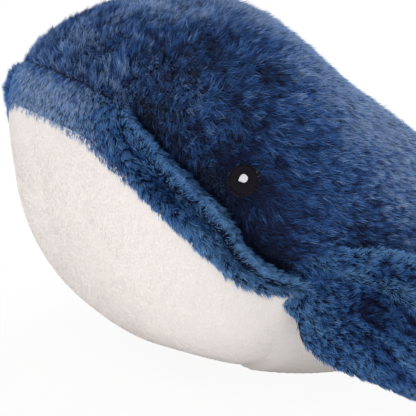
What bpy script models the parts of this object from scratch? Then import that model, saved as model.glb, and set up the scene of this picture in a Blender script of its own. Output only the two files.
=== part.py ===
"""A plush whale: a navy fur back, a cream velour belly, rolled fur lips, embroidered eyes, side fins and a tail.

Every piece is a cut and sewn panel or the filling that it covers. The nose points to -Y, the whale's left side
is +X, and the belly rests on z = 0. All lengths are in metres.
"""

import math

import bmesh
import bpy
import numpy as np

# The head, measured at its widest section
HEAD_HALF_WIDTH = 0.087
HEAD_TOP = 0.150
HEAD_WIDEST_HEIGHT = 0.072
NOSE_REACH = 0.0735
FACE_LEAN_SHARE = 0.31
PLAN_POWER = 2.5
CROWN_POWER = 2.38
BELLY_POWER = 2.7
FLOOR_CUT = 0.0005

# The body behind the widest section, at four more sections
SHOULDER_BACK = 0.055
SHOULDER_HALF_WIDTH = 0.072
SHOULDER_TOP = 0.112
WAIST_BACK = 0.110
WAIST_HALF_WIDTH = 0.047
WAIST_UNDERSIDE = 0.005
WAIST_TOP = 0.075
STOCK_BACK = 0.165
STOCK_HALF_WIDTH = 0.030
STOCK_UNDERSIDE = 0.019
STOCK_TOP = 0.052
TAIL_SEAM_BACK = 0.215
TAIL_SEAM_HALF_WIDTH = 0.020
TAIL_SEAM_HEIGHT = 0.038
TAIL_SEAM_HALF_THICKNESS = 0.0035

# Fabric and clearances
SKIN = 0.005
SKINS_IN_HALF_TAIL = 3.0
SEAM_GAP = 0.0004
FILLING_GAP = 0.0009

# The seams, as shares of the section's height at rows from the front of the face (0) over the widest section
# (1) to the tail seam (2)
SEAM_ROW_SHARES = (0.0, 0.2, 0.4, 0.55, 0.7, 0.8, 0.9, 1.0, 1.3, 1.65, 2.0)
CREAM_EDGE_SHARES = (0.706, 0.694, 0.608, 0.515, 0.410, 0.352, 0.326, 0.318, 0.320, 0.400, 0.500)
BAND_TOP_SHARES = (0.838, 0.826, 0.712, 0.592, 0.482, 0.388, 0.343, 0.324, 0.320, 0.400, 0.500)
ROLL_TOP_SHARES = (0.844, 0.832, 0.786, 0.676, 0.550, 0.428, 0.362, 0.330, 0.320, 0.400, 0.500)

# The padded lips: how far each stands proud of the face
BAND_BULGE = 0.0045
ROLL_BULGE = 0.0065
ROLL_START_SHARE = 0.1
LIP_ROUND_POWER = 0.8
LIP_CORNER_POWER = 0.5

# Mesh rows and columns
HEAD_ROWS = 10
BACK_ROWS = 12
BACK_ROW_SPREAD = 1.25
LIP_END_ROW = 10
ROLL_START_ROW = 2
BACK_COLUMNS = 9
BELLY_COLUMNS = 7
LIP_COLUMNS = 6
FILLING_COLUMNS = 12

# Eyes
EYE_RADIUS = 0.006
EYE_THICKNESS = 0.0012
EYE_SEAT = 0.0004
EYE_SIDES = 20
GLINT_RADIUS = 0.0019
GLINT_THICKNESS = 0.0006
GLINT_SIDES = 12
DISC_REACH_SHARES = (1.0, 1.0, 0.6)
DISC_HEIGHT_SHARES = (0.0, 0.5, 0.9)
EYE_ROW_SHARE = 0.81
EYE_HEIGHT_SHARE = 0.621

# Side fins: a flat leaf sewn to the flank along a sloping root
FIN_ROW_SHARE = 1.03
FIN_ROOT_HEIGHT = 0.051
FIN_ROOT_GAP = 0.0006
FIN_ROOT_TILT = math.radians(44.0)
FIN_SWEEP = math.radians(53.0)
FIN_DROOP = math.radians(28.0)
FIN_CURL = 0.008
FIN_LENGTH = 0.098
FIN_HALF_CHORD = 0.0295
FIN_PLACE_SHARES = (0.0, 0.08, 0.25, 0.5, 0.75, 0.92, 1.0)
FIN_WIDTH_SHARES = (0.56, 0.8, 0.91, 1.0, 0.92, 0.68, 0.27)
FIN_HALF_THICKNESS = 0.0115
FIN_ROOT_POWER = 1.0
FIN_TIP_POWER = 0.6
FIN_SKIN = 0.003
FIN_FILLING_GAP = 0.0006
FIN_FILLING_INSET = 0.016
FIN_ROWS = 12
FIN_COLUMNS = 6
HINGE_INSET = 0.0025

# Tail flukes: one leaf from tip to tip
FLUKE_HALF_SPAN = 0.080
FLUKE_SWEEP_DEPTH = 0.048
FLUKE_NOTCH_DEPTH = 0.044
FLUKE_LOBE_DEPTH = 0.066
FLUKE_TIP_CHORD = 0.012
FLUKE_PLACE_SHARES = (0.0, 0.2, 0.5, 0.8, 1.0)
FLUKE_SWEEP_SHARES = (0.0, 0.0, 0.3, 0.68, 1.0)
FLUKE_HALF_THICKNESS = 0.010
FLUKE_SKIN = 0.003
FLUKE_FILLING_INSET = 0.010
FLUKE_GAP = 0.0006
FLUKE_ROWS = 18
FLUKE_COLUMNS = 6

MERGE_DISTANCE = 0.000001
ANGLE_STEP = 0.0001

NAVY_FUR = ("navy_fur", (0.022, 0.062, 0.165, 1.0), 0.85)
CREAM_VELOUR = ("cream_velour", (0.82, 0.77, 0.73, 1.0), 0.9)
WHITE_FILLING = ("white_filling", (0.85, 0.85, 0.83, 1.0), 0.95)
BLACK_THREAD = ("black_thread", (0.02, 0.018, 0.017, 1.0), 0.6)
WHITE_THREAD = ("white_thread", (0.83, 0.81, 0.82, 1.0), 0.5)

BODY_SECTIONS = (
    (0.0, HEAD_HALF_WIDTH, -FLOOR_CUT, HEAD_TOP),
    (SHOULDER_BACK, SHOULDER_HALF_WIDTH, -FLOOR_CUT, SHOULDER_TOP),
    (WAIST_BACK, WAIST_HALF_WIDTH, WAIST_UNDERSIDE, WAIST_TOP),
    (STOCK_BACK, STOCK_HALF_WIDTH, STOCK_UNDERSIDE, STOCK_TOP),
    (
        TAIL_SEAM_BACK,
        TAIL_SEAM_HALF_WIDTH,
        TAIL_SEAM_HEIGHT - TAIL_SEAM_HALF_THICKNESS,
        TAIL_SEAM_HEIGHT + TAIL_SEAM_HALF_THICKNESS,
    ),
)


def steady_curve(places, values, place, first_slope=None):
    """A smooth curve through the values that never swings past them."""
    rises = [(b - a) / (q - p) for a, b, p, q in zip(values, values[1:], places, places[1:])]
    slopes = [rises[0] if first_slope is None else first_slope]
    for before, after in zip(rises, rises[1:]):
        slopes.append(2 * before * after / (before + after) if before * after > 0 else 0.0)
    slopes.append(rises[-1])
    at = min(max(int(np.searchsorted(places, place)) - 1, 0), len(rises) - 1)
    width = places[at + 1] - places[at]
    t = (place - places[at]) / width
    start = (1 + 2 * t) * (1 - t) ** 2 * values[at] + t * (1 - t) ** 2 * width * slopes[at]
    end = t * t * (3 - 2 * t) * values[at + 1] + t * t * (t - 1) * width * slopes[at + 1]
    return start + end


def powered(value, power):
    """The coordinate of a superellipse: a circle's at power 2, fuller above it."""
    return math.copysign(abs(value) ** (2 / power), value)


def body_section(row):
    """Half width, underside, top and widest height of the body at a row from 1 (head) to 2 (tail seam)."""
    back = max(row - 1, 0) * TAIL_SEAM_BACK
    places, widths, undersides, tops = zip(*BODY_SECTIONS)
    half_width = steady_curve(places, widths, back, 0.0)
    underside = steady_curve(places, undersides, back, 0.0)
    top = steady_curve(places, tops, back, 0.0)
    head_share = (HEAD_WIDEST_HEIGHT + FLOOR_CUT) / (HEAD_TOP + FLOOR_CUT)
    share = head_share + (0.5 - head_share) * max(row - 1, 0)
    return half_width, underside, top, underside + share * (top - underside)


def skin_factor(row):
    """The share of a depth that the flattened tail has room for."""
    _, underside, top, _ = body_section(row)
    return min(1.0, (top - underside) / 2 / (SKINS_IN_HALF_TAIL * SKIN))


def form_point(row, angle, depth=0.0):
    """A point on the body at a row (0 face, 1 widest, 2 tail), an angle from the top and a depth below the pile."""
    half_width, underside, top, widest = body_section(row)
    rise = math.cos(angle)
    inset = depth * skin_factor(row)
    power = CROWN_POWER if rise >= 0 else BELLY_POWER
    reach_up = top - widest - inset if rise >= 0 else widest - underside - inset
    side = powered(math.sin(angle), power)
    height = widest + reach_up * powered(rise, power)
    if row >= 1:
        return np.array([(half_width - depth) * side, (row - 1) * TAIL_SEAM_BACK, height])
    turn = row * math.pi / 2
    reach = NOSE_REACH * (1 + FACE_LEAN_SHARE * rise) - depth
    x = (half_width - depth) * side * powered(math.sin(turn), PLAN_POWER)
    y = -reach * side * powered(math.cos(turn), PLAN_POWER)
    return np.array([x, y, height])


def form_normal(row, angle):
    """The outward direction of the body's surface on the left side."""
    down = form_point(row, angle + ANGLE_STEP) - form_point(row, angle - ANGLE_STEP)
    back = form_point(row + ANGLE_STEP, angle) - form_point(row - ANGLE_STEP, angle)
    normal = np.cross(down, back)
    return normal / np.linalg.norm(normal)


def angle_at(row, share):
    """The angle at which the section at this row reaches a share of its height."""
    _, underside, top, widest = body_section(row)
    height = underside + share * (top - underside)
    if height >= widest:
        return math.acos(min(1.0, ((height - widest) / (top - widest)) ** (CROWN_POWER / 2)))
    return math.acos(-min(1.0, ((widest - height) / (widest - underside)) ** (BELLY_POWER / 2)))


def body_rows():
    """The rows that every body piece shares, so that neighbours keep the same facets."""
    front = [i / HEAD_ROWS for i in range(HEAD_ROWS)]
    return front + [1 + (i / BACK_ROWS) ** BACK_ROW_SPREAD for i in range(BACK_ROWS + 1)]


def edge_angle(row, shares, side):
    """The angle of a seam, half a seam gap above (side -1) or below (side 1) its line."""
    angle = angle_at(row, steady_curve(SEAM_ROW_SHARES, shares, row))
    span = form_point(row, angle + ANGLE_STEP, SKIN) - form_point(row, angle - ANGLE_STEP, SKIN)
    return angle + side * SEAM_GAP * ANGLE_STEP / np.linalg.norm(span)


def back_edge(index, row):
    """The lower edge of a back panel: over the lip band, over the upper roll, then along the cream edge."""
    if index < ROLL_START_ROW:
        return edge_angle(row, BAND_TOP_SHARES, -1)
    if index <= LIP_END_ROW:
        return edge_angle(row, ROLL_TOP_SHARES, -1)
    return edge_angle(row, CREAM_EDGE_SHARES, -1)


def strip(rows, edges, columns, depth_at):
    """A grid of points between two edge angles at each row, at the depth that depth_at gives."""
    grid = []
    for index, (row, (first, last)) in enumerate(zip(rows, edges)):
        angles = [first + (last - first) * j / columns for j in range(columns + 1)]
        points = [form_point(row, a, depth_at(index, j / columns)) for j, a in enumerate(angles)]
        grid.append(points)
    return grid


def add_faces(mesh, grid, turned):
    """One skin of quads over a grid of vertices."""
    for row, following in zip(grid, grid[1:]):
        for j in range(len(row) - 1):
            corners = [row[j], row[j + 1], following[j + 1], following[j]]
            mesh.faces.new(corners[::-1] if turned else corners)


def add_wall(mesh, outer, inner, turned):
    """The cut edge of a panel, between its outer and inner rims."""
    for j in range(len(outer) - 1):
        corners = [outer[j], outer[j + 1], inner[j + 1], inner[j]]
        mesh.faces.new(corners[::-1] if turned else corners)


def panel_mesh(outer, inner, open_first_row=False, open_last_column=False, open_first_column=False, facing=1):
    """A closed sheet between an outer and an inner grid. A side left open is closed by its mirrored half."""
    mesh = bmesh.new()
    outside = [[mesh.verts.new(point) for point in row] for row in outer]
    inside = [[mesh.verts.new(point) for point in row] for row in inner]
    add_faces(mesh, outside, facing < 0)
    add_faces(mesh, inside, facing > 0)
    if not open_first_row:
        add_wall(mesh, outside[0], inside[0], facing > 0)
    add_wall(mesh, outside[-1], inside[-1], facing < 0)
    if not open_first_column:
        add_wall(mesh, [row[0] for row in outside], [row[0] for row in inside], facing < 0)
    if not open_last_column:
        add_wall(mesh, [row[-1] for row in outside], [row[-1] for row in inside], facing > 0)
    bmesh.ops.remove_doubles(mesh, verts=mesh.verts, dist=MERGE_DISTANCE)
    return mesh


def material(look):
    """A Principled material for one of the fabrics, made once."""
    name, colour, roughness = look
    found = bpy.data.materials.get(name)
    if found:
        return found
    made = bpy.data.materials.new(name)
    made.use_nodes = True
    shader = made.node_tree.nodes["Principled BSDF"]
    shader.inputs["Base Color"].default_value = colour
    shader.inputs["Roughness"].default_value = roughness
    shader.inputs["Metallic"].default_value = 0.0
    made.diffuse_color = colour
    return made


def whale_middle():
    """How far the middle of the whale's length lies behind its widest section."""
    lip_share = (CREAM_EDGE_SHARES[0] + BAND_TOP_SHARES[0]) / 2
    nose = form_point(0.0, angle_at(0.0, lip_share), -BAND_BULGE)[1]
    tail = TAIL_SEAM_BACK + FLUKE_GAP + FLUKE_LOBE_DEPTH
    return (nose + tail) / 2


def add_object(name, mesh, look, origin=(0.0, 0.0, 0.0)):
    """A named object from a bmesh in the head's frame, with its origin where it turns or is sewn."""
    middle = np.array([0.0, whale_middle(), 0.0])
    origin = np.array(origin, float)
    for vertex in mesh.verts:
        vertex.co = [a - b for a, b in zip(vertex.co, origin)]
    data = bpy.data.meshes.new(name)
    mesh.to_mesh(data)
    mesh.free()
    data.shade_smooth()
    data.materials.append(material(look))
    made = bpy.data.objects.new(name, data)
    made.location = origin - middle
    bpy.context.scene.collection.objects.link(made)
    return made


def mirror_half(made):
    """Closes a half piece with its own mirror image across the middle of the whale."""
    mirror = made.modifiers.new("Mirror", "MIRROR")
    mirror.use_axis = (True, False, False)
    mirror.merge_threshold = MERGE_DISTANCE
    return made


def other_side(made, name):
    """The same piece on the whale's right side, as its own object."""
    mesh = bmesh.new()
    mesh.from_mesh(made.data)
    for vertex in mesh.verts:
        vertex.co.x = -vertex.co.x
    bmesh.ops.reverse_faces(mesh, faces=mesh.faces)
    data = bpy.data.meshes.new(name)
    mesh.to_mesh(data)
    mesh.free()
    data.materials.append(made.data.materials[0])
    copied = bpy.data.objects.new(name, data)
    copied.location = (-made.location.x, made.location.y, made.location.z)
    bpy.context.scene.collection.objects.link(copied)
    return copied


def add_back_panels():
    """The two navy panels that meet along the top of the whale."""
    rows = body_rows()
    edges = [(0.0, back_edge(index, row)) for index, row in enumerate(rows)]
    outer = strip(rows, edges, BACK_COLUMNS, lambda index, share: 0.0)
    inner = strip(rows, edges, BACK_COLUMNS, lambda index, share: SKIN)
    for point in (point for grid in (outer, inner) for row in grid for point in row):
        point[0] = max(point[0], SEAM_GAP / 2)
    left = add_object("left_back_panel", panel_mesh(outer, inner), NAVY_FUR)
    other_side(left, "right_back_panel")


def add_belly_panel():
    """The cream panel from chin to tail, cut flat where the whale rests."""
    rows = body_rows()
    edges = [(edge_angle(row, CREAM_EDGE_SHARES, 1), math.pi) for row in rows]
    outer = strip(rows, edges, BELLY_COLUMNS, lambda index, share: 0.0)
    inner = strip(rows, edges, BELLY_COLUMNS, lambda index, share: SKIN)
    half = panel_mesh(outer, inner, open_first_row=True, open_last_column=True)
    for vertex in half.verts:
        if abs(vertex.co.x) < MERGE_DISTANCE:
            vertex.co.x = 0.0
    belly = mirror_half(add_object("belly_panel", half, CREAM_VELOUR))
    cut = belly.modifiers.new("Floor", "BOOLEAN")
    cut.operation = "DIFFERENCE"
    cut.object = floor_cutter()


def floor_cutter():
    """A block under the floor that trims the belly flat."""
    side = TAIL_SEAM_BACK + HEAD_HALF_WIDTH + NOSE_REACH
    mesh = bmesh.new()
    bmesh.ops.create_cube(mesh, size=side)
    bmesh.ops.translate(mesh, verts=mesh.verts, vec=(0.0, whale_middle(), -side / 2))
    block = add_object("floor_cutter", mesh, WHITE_FILLING)
    block.hide_render = True
    block.display_type = "WIRE"
    return block


def add_body_filling():
    """The filling that carries every panel, one closed swelling and tapering form."""
    rows = body_rows()
    mesh = bmesh.new()
    grid = []
    for row in rows:
        angles = [math.pi * j / FILLING_COLUMNS for j in range(FILLING_COLUMNS + 1)]
        grid.append([mesh.verts.new(form_point(row, angle, SKIN + FILLING_GAP)) for angle in angles])
    add_faces(mesh, grid, False)
    cap = grid[-1]
    middle = mesh.verts.new(((cap[0].co + cap[-1].co) / 2))
    for above, below in zip(cap, cap[1:]):
        mesh.faces.new([above, below, middle])
    for vertex in mesh.verts:
        if abs(vertex.co.x) < MERGE_DISTANCE:
            vertex.co.x = 0.0
    bmesh.ops.remove_doubles(mesh, verts=mesh.verts, dist=MERGE_DISTANCE)
    mirror_half(add_object("body_filling", mesh, WHITE_FILLING))


def lip_profile(height, share):
    """How far a padded lip stands proud across its width."""
    return -height * math.sin(math.pi * share) ** LIP_ROUND_POWER


def fullness(share, start_share):
    """A lip's fullness along its length: blunt where it starts, flat at the corner of the mouth."""
    start = start_share + (1 - start_share) * math.sin(math.pi / 2 * min(1.0, 2 * share))
    return start * math.cos(math.pi / 2 * share) ** LIP_CORNER_POWER


def add_lip_band():
    """The lower lip: a padded fur band that runs round the face from one corner of the mouth to the other."""
    rows = body_rows()[: LIP_END_ROW + 1]
    edges = [(edge_angle(row, BAND_TOP_SHARES, 1), edge_angle(row, CREAM_EDGE_SHARES, -1)) for row in rows]

    def proud(index, share):
        return lip_profile(BAND_BULGE * fullness(index / LIP_END_ROW, 1.0), share)

    outer = strip(rows, edges, LIP_COLUMNS, proud)
    inner = strip(rows, edges, LIP_COLUMNS, lambda index, share: SKIN)
    half = panel_mesh(outer, inner, open_first_row=True)
    for vertex in half.verts:
        if abs(vertex.co.x) < MERGE_DISTANCE:
            vertex.co.x = 0.0
    mirror_half(add_object("lower_lip_band", half, NAVY_FUR))


def add_upper_rolls():
    """The upper lips: one padded roll on each cheek, above the band."""
    rows = body_rows()[ROLL_START_ROW : LIP_END_ROW + 1]
    edges = [(edge_angle(row, ROLL_TOP_SHARES, 1), edge_angle(row, BAND_TOP_SHARES, -1)) for row in rows]

    def proud(index, share):
        along = index / (LIP_END_ROW - ROLL_START_ROW)
        return lip_profile(ROLL_BULGE * fullness(along, ROLL_START_SHARE), share)

    outer = strip(rows, edges, LIP_COLUMNS, proud)
    inner = strip(rows, edges, LIP_COLUMNS, lambda index, share: SKIN)
    left = add_object("left_upper_lip_roll", panel_mesh(outer, inner), NAVY_FUR)
    other_side(left, "right_upper_lip_roll")


def disc_mesh(centre, normal, radius, thickness, sides):
    """A domed embroidered disc that faces along the normal: its rim is half as thick as its middle."""
    across = np.cross(normal, (0.0, 0.0, 1.0))
    across /= np.linalg.norm(across)
    up = np.cross(across, normal)
    mesh = bmesh.new()
    rings = []
    for reach, height in zip(DISC_REACH_SHARES, DISC_HEIGHT_SHARES):
        ring = []
        for i in range(sides):
            turn = 2 * math.pi * i / sides
            spoke = across * math.cos(turn) + up * math.sin(turn)
            ring.append(mesh.verts.new(centre + spoke * radius * reach + normal * thickness * height))
        rings.append(ring)
    back = mesh.faces.new(rings[0])
    for low, high in zip(rings, rings[1:]):
        for i in range(sides):
            mesh.faces.new([low[i], low[i - 1], high[i - 1], high[i]])
    top = mesh.verts.new(centre + normal * thickness)
    for i in range(sides):
        mesh.faces.new([rings[-1][i], rings[-1][i - 1], top])
    bmesh.ops.recalc_face_normals(mesh, faces=mesh.faces)
    bmesh.ops.triangulate(mesh, faces=[back])
    return mesh


def add_eyes():
    """A round black embroidered eye with a white glint on each cheek."""
    angle = angle_at(EYE_ROW_SHARE, EYE_HEIGHT_SHARE)
    normal = form_normal(EYE_ROW_SHARE, angle)
    seat = form_point(EYE_ROW_SHARE, angle) + normal * EYE_SEAT
    patch = disc_mesh(seat, normal, EYE_RADIUS, EYE_THICKNESS, EYE_SIDES)
    front = seat + normal * (EYE_THICKNESS + SEAM_GAP)
    glint = disc_mesh(front, normal, GLINT_RADIUS, GLINT_THICKNESS, GLINT_SIDES)
    other_side(add_object("left_eye_patch", patch, BLACK_THREAD, seat), "right_eye_patch")
    other_side(add_object("left_eye_glint", glint, WHITE_THREAD, front), "right_eye_glint")


def fin_frame():
    """The fin's root point, its outward direction, its root direction and the way its upper face looks."""
    height_share = (FIN_ROOT_HEIGHT + FLOOR_CUT) / (HEAD_TOP + FLOOR_CUT)
    angle = angle_at(FIN_ROW_SHARE, height_share)
    outward = form_normal(FIN_ROW_SHARE, angle)
    root = form_point(FIN_ROW_SHARE, angle) + outward * FIN_ROOT_GAP
    span = np.array(
        [
            math.cos(FIN_SWEEP) * math.cos(FIN_DROOP),
            math.sin(FIN_SWEEP) * math.cos(FIN_DROOP),
            -math.sin(FIN_DROOP),
        ]
    )
    chord = np.array([0.0, math.cos(FIN_ROOT_TILT), math.sin(FIN_ROOT_TILT)])
    face = np.cross(span, chord)
    return root, span, chord, face / np.linalg.norm(face)


def fin_half_chord(share):
    """Half the fin's width at a share of its length."""
    return FIN_HALF_CHORD * steady_curve(FIN_PLACE_SHARES, FIN_WIDTH_SHARES, share)


def fin_thickness(share):
    """The fin's half thickness: slim at the sewn root, full at the middle, blunt at the tip."""
    wave = max(math.sin(math.pi * min(share, 1.0)), 0.0)
    return FIN_HALF_THICKNESS * wave ** (FIN_ROOT_POWER if share < 0.5 else FIN_TIP_POWER)


def fin_point(length_share, turn, inset, side, gap):
    """A point on one face of the fin, inset from its outline and its surface, turn 0 leading and pi trailing."""
    root, span, chord, face = fin_frame()
    along = inset + length_share * (FIN_LENGTH - 2 * inset)
    share = along / FIN_LENGTH
    half = fin_half_chord(share) - min(inset, FIN_SKIN + FIN_FILLING_GAP)
    depth = min(inset, FIN_SKIN + FIN_FILLING_GAP)
    height = max(fin_thickness(share) - depth, 0.0) * math.sin(turn) + gap / 2
    across = -half * math.cos(turn)
    centre = root + span * along + np.array([0.0, 0.0, FIN_CURL]) * share**2
    return centre + chord * across + face * height * side


def leaf_panel(point_at, rows, columns, skin, side):
    """One face of a fin or fluke: a sheet whose rim lies in the seam all round."""
    outer = [
        [point_at(i / rows, math.pi * j / columns, 0.0, side, SEAM_GAP) for j in range(columns + 1)]
        for i in range(rows + 1)
    ]
    inner = [
        [point_at(i / rows, math.pi * j / columns, skin, side, SEAM_GAP) for j in range(columns + 1)]
        for i in range(rows + 1)
    ]
    return panel_mesh(outer, inner, facing=-side)


def leaf_filling(point_at, rows, columns, inset):
    """The flat pillow of filling inside a fin or fluke."""
    mesh = bmesh.new()
    rings = []
    for i in range(rows + 1):
        upper = [point_at(i / rows, math.pi * j / columns, inset, 1, 0.0) for j in range(columns + 1)]
        lower = [point_at(i / rows, math.pi * j / columns, inset, -1, 0.0) for j in range(columns - 1, 0, -1)]
        rings.append([mesh.verts.new(point) for point in upper + lower])
    for ring, following in zip(rings, rings[1:]):
        for j in range(len(ring)):
            mesh.faces.new([ring[j - 1], ring[j], following[j], following[j - 1]])
    mesh.faces.new(rings[0])
    mesh.faces.new(rings[-1][::-1])
    bmesh.ops.recalc_face_normals(mesh, faces=mesh.faces)
    return mesh


def fin_hinge():
    """A point on the line that the left fin turns about, just outside its root seam."""
    root, span, _, _ = fin_frame()
    return root + span * HINGE_INSET


def add_fins():
    """Both side fins, each two fur panels over a flat filling."""
    hinge = fin_hinge()
    upper = leaf_panel(fin_point, FIN_ROWS, FIN_COLUMNS, FIN_SKIN, 1)
    under = leaf_panel(fin_point, FIN_ROWS, FIN_COLUMNS, FIN_SKIN, -1)
    filling = leaf_filling(fin_point, FIN_ROWS - 2, FIN_COLUMNS, FIN_FILLING_INSET)
    other_side(add_object("left_fin_upper_panel", upper, NAVY_FUR, hinge), "right_fin_upper_panel")
    other_side(add_object("left_fin_under_panel", under, NAVY_FUR, hinge), "right_fin_under_panel")
    other_side(add_object("left_fin_filling", filling, WHITE_FILLING, hinge), "right_fin_filling")


def fluke_edges(across):
    """The leading and trailing edges of the flukes at a distance from the middle, measured behind the seam."""
    share = across / FLUKE_HALF_SPAN
    lead = FLUKE_SWEEP_DEPTH * steady_curve(FLUKE_PLACE_SHARES, FLUKE_SWEEP_SHARES, share, 0.0)
    tip = FLUKE_SWEEP_DEPTH + FLUKE_TIP_CHORD
    lobe = FLUKE_LOBE_DEPTH
    trails = (FLUKE_NOTCH_DEPTH, (FLUKE_NOTCH_DEPTH + lobe) / 2, lobe, lobe, tip)
    return lead, steady_curve(FLUKE_PLACE_SHARES, trails, share)


def fluke_point(width_share, turn, inset, side, gap):
    """A point on the top or underside of the flukes, from the right tip (0) to the left tip (1)."""
    edge_inset = min(inset, FLUKE_SKIN)
    across = (2 * width_share - 1) * (FLUKE_HALF_SPAN - inset)
    lead, trail = fluke_edges(abs(across))
    lead += edge_inset
    trail -= edge_inset
    full = math.sqrt(max(1 - (across / FLUKE_HALF_SPAN) ** 2, 0.0))
    depth = min(inset, FLUKE_SKIN + FIN_FILLING_GAP)
    height = max(FLUKE_HALF_THICKNESS * full - depth, 0.0) * math.sin(turn) + gap / 2
    back = TAIL_SEAM_BACK + FLUKE_GAP + (lead + trail) / 2 - (trail - lead) / 2 * math.cos(turn)
    return np.array([across, back, TAIL_SEAM_HEIGHT + height * side])


def tail_hinge():
    """A point on the line that the flukes turn about, just behind the tail seam."""
    return np.array([0.0, TAIL_SEAM_BACK + FLUKE_GAP + HINGE_INSET, TAIL_SEAM_HEIGHT])


def add_flukes():
    """The tail flukes: two fur panels over a flat filling."""
    hinge = tail_hinge()
    upper = leaf_panel(fluke_point, FLUKE_ROWS, FLUKE_COLUMNS, FLUKE_SKIN, 1)
    under = leaf_panel(fluke_point, FLUKE_ROWS, FLUKE_COLUMNS, FLUKE_SKIN, -1)
    filling = leaf_filling(fluke_point, FLUKE_ROWS - 2, FLUKE_COLUMNS, FLUKE_FILLING_INSET)
    add_object("tail_fluke_upper_panel", upper, NAVY_FUR, hinge)
    add_object("tail_fluke_under_panel", under, NAVY_FUR, hinge)
    add_object("tail_fluke_filling", filling, WHITE_FILLING, hinge)


def main():
    for old in list(bpy.data.objects):
        bpy.data.objects.remove(old, do_unlink=True)
    add_body_filling()
    add_back_panels()
    add_belly_panel()
    add_lip_band()
    add_upper_rolls()
    add_eyes()
    add_fins()
    add_flukes()


if __name__ == "__main__":
    main()
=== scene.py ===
import math

import bpy
import numpy as np
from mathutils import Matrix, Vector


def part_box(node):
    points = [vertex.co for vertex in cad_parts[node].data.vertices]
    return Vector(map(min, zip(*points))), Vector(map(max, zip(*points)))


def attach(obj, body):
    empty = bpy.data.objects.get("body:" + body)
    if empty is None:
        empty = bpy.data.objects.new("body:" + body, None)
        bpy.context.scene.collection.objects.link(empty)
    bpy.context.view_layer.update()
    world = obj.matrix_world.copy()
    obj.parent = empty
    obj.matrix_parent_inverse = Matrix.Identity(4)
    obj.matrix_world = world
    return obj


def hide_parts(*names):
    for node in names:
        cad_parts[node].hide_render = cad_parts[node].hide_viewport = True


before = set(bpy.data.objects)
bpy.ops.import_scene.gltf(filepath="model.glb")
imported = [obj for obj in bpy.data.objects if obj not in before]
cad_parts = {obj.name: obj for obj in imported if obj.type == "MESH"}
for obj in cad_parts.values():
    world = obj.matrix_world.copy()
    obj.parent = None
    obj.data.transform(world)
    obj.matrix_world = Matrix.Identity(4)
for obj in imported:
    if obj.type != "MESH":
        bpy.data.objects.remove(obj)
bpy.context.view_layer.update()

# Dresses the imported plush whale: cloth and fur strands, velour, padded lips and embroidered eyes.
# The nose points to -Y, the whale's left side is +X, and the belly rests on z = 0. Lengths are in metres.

bl_info = {
    "name": "Plush Whale",
    "version": (1, 0, 0),
    "blender": (4, 5, 0),
    "location": "View3D > Sidebar > Whale",
    "description": "Dresses a stuffed whale with fur, velour and stitched eyes",
    "category": "Object",
}

# The form, as the solids have it. A row runs from 0 at the nose over 1 at the head's widest to 2 at the tail's seam,
# and a share is a part of a section's height.
HEAD_HALF_WIDTH = 0.087
HEAD_TOP = 0.150
HEAD_WIDEST_HEIGHT = 0.072
NOSE_REACH = 0.0735
FACE_LEAN_SHARE = 0.31
PLAN_POWER = 2.5
CROWN_POWER = 2.38
BELLY_POWER = 2.7
FLOOR_CUT = 0.0005
TAIL_SEAM_BACK = 0.215
TAIL_SEAM_HEIGHT = 0.038
SECTION_BACKS = (0.0, 0.055, 0.110, 0.165, TAIL_SEAM_BACK)
SECTION_HALF_WIDTHS = (HEAD_HALF_WIDTH, 0.072, 0.047, 0.030, 0.020)
SECTION_UNDERSIDES = (-FLOOR_CUT, -FLOOR_CUT, 0.005, 0.019, 0.0345)
SECTION_TOPS = (HEAD_TOP, 0.112, 0.075, 0.052, 0.0415)
SKIN = 0.005
SKINS_IN_HALF_TAIL = 3.0
SEAM_ROW_SHARES = (0.0, 0.2, 0.4, 0.55, 0.7, 0.8, 0.9, 1.0, 1.3, 1.65, 2.0)
CREAM_EDGE_SHARES = (0.706, 0.694, 0.608, 0.515, 0.410, 0.352, 0.326, 0.318, 0.320, 0.400, 0.500)
BAND_TOP_SHARES = (0.838, 0.826, 0.712, 0.592, 0.482, 0.388, 0.343, 0.324, 0.320, 0.400, 0.500)
ROLL_TOP_SHARES = (0.844, 0.832, 0.786, 0.676, 0.550, 0.428, 0.362, 0.330, 0.320, 0.400, 0.500)
BAND_BULGE = 0.0045
ROLL_BULGE = 0.0065
ROLL_SHOWN = 0.385
SNOUT_END = 0.27
LIP_END = 1.0
LIP_ROUND_POWER = 0.8
ROLL_ROUND_POWER = 0.55
EYE_ROW = 0.81
EYE_HEIGHT_SHARE = 0.621
FIN_ROW = 1.03
FIN_ROOT_HEIGHT = 0.051
FIN_ROOT_TILT = math.radians(44.0)
FIN_SWEEP = math.radians(53.0)
FIN_DROOP = math.radians(28.0)
FIN_CURL = 0.008
FIN_LENGTH = 0.098
FIN_HALF_CHORD = 0.0295
FIN_HALF_THICKNESS = 0.0115
FIN_PLACE_SHARES = (0.0, 0.08, 0.25, 0.5, 0.75, 0.92, 1.0)
FIN_WIDTH_SHARES = (0.56, 0.8, 0.91, 1.0, 0.92, 0.68, 0.27)
FLUKE_HALF_SPAN = 0.080
FLUKE_SWEEP_DEPTH = 0.048
FLUKE_NOTCH_DEPTH = 0.044
FLUKE_LOBE_DEPTH = 0.066
FLUKE_TIP_CHORD = 0.012
FLUKE_HALF_THICKNESS = 0.010
FLUKE_PLACE_SHARES = (0.0, 0.2, 0.5, 0.8, 1.0)
FLUKE_SWEEP_SHARES = (0.0, 0.0, 0.3, 0.68, 1.0)
MIDDLE = TAIL_SEAM_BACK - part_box("body_filling")[1].y
NOSE_TIP = np.array([0.0, -NOSE_REACH - 0.025, 0.112])

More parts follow.
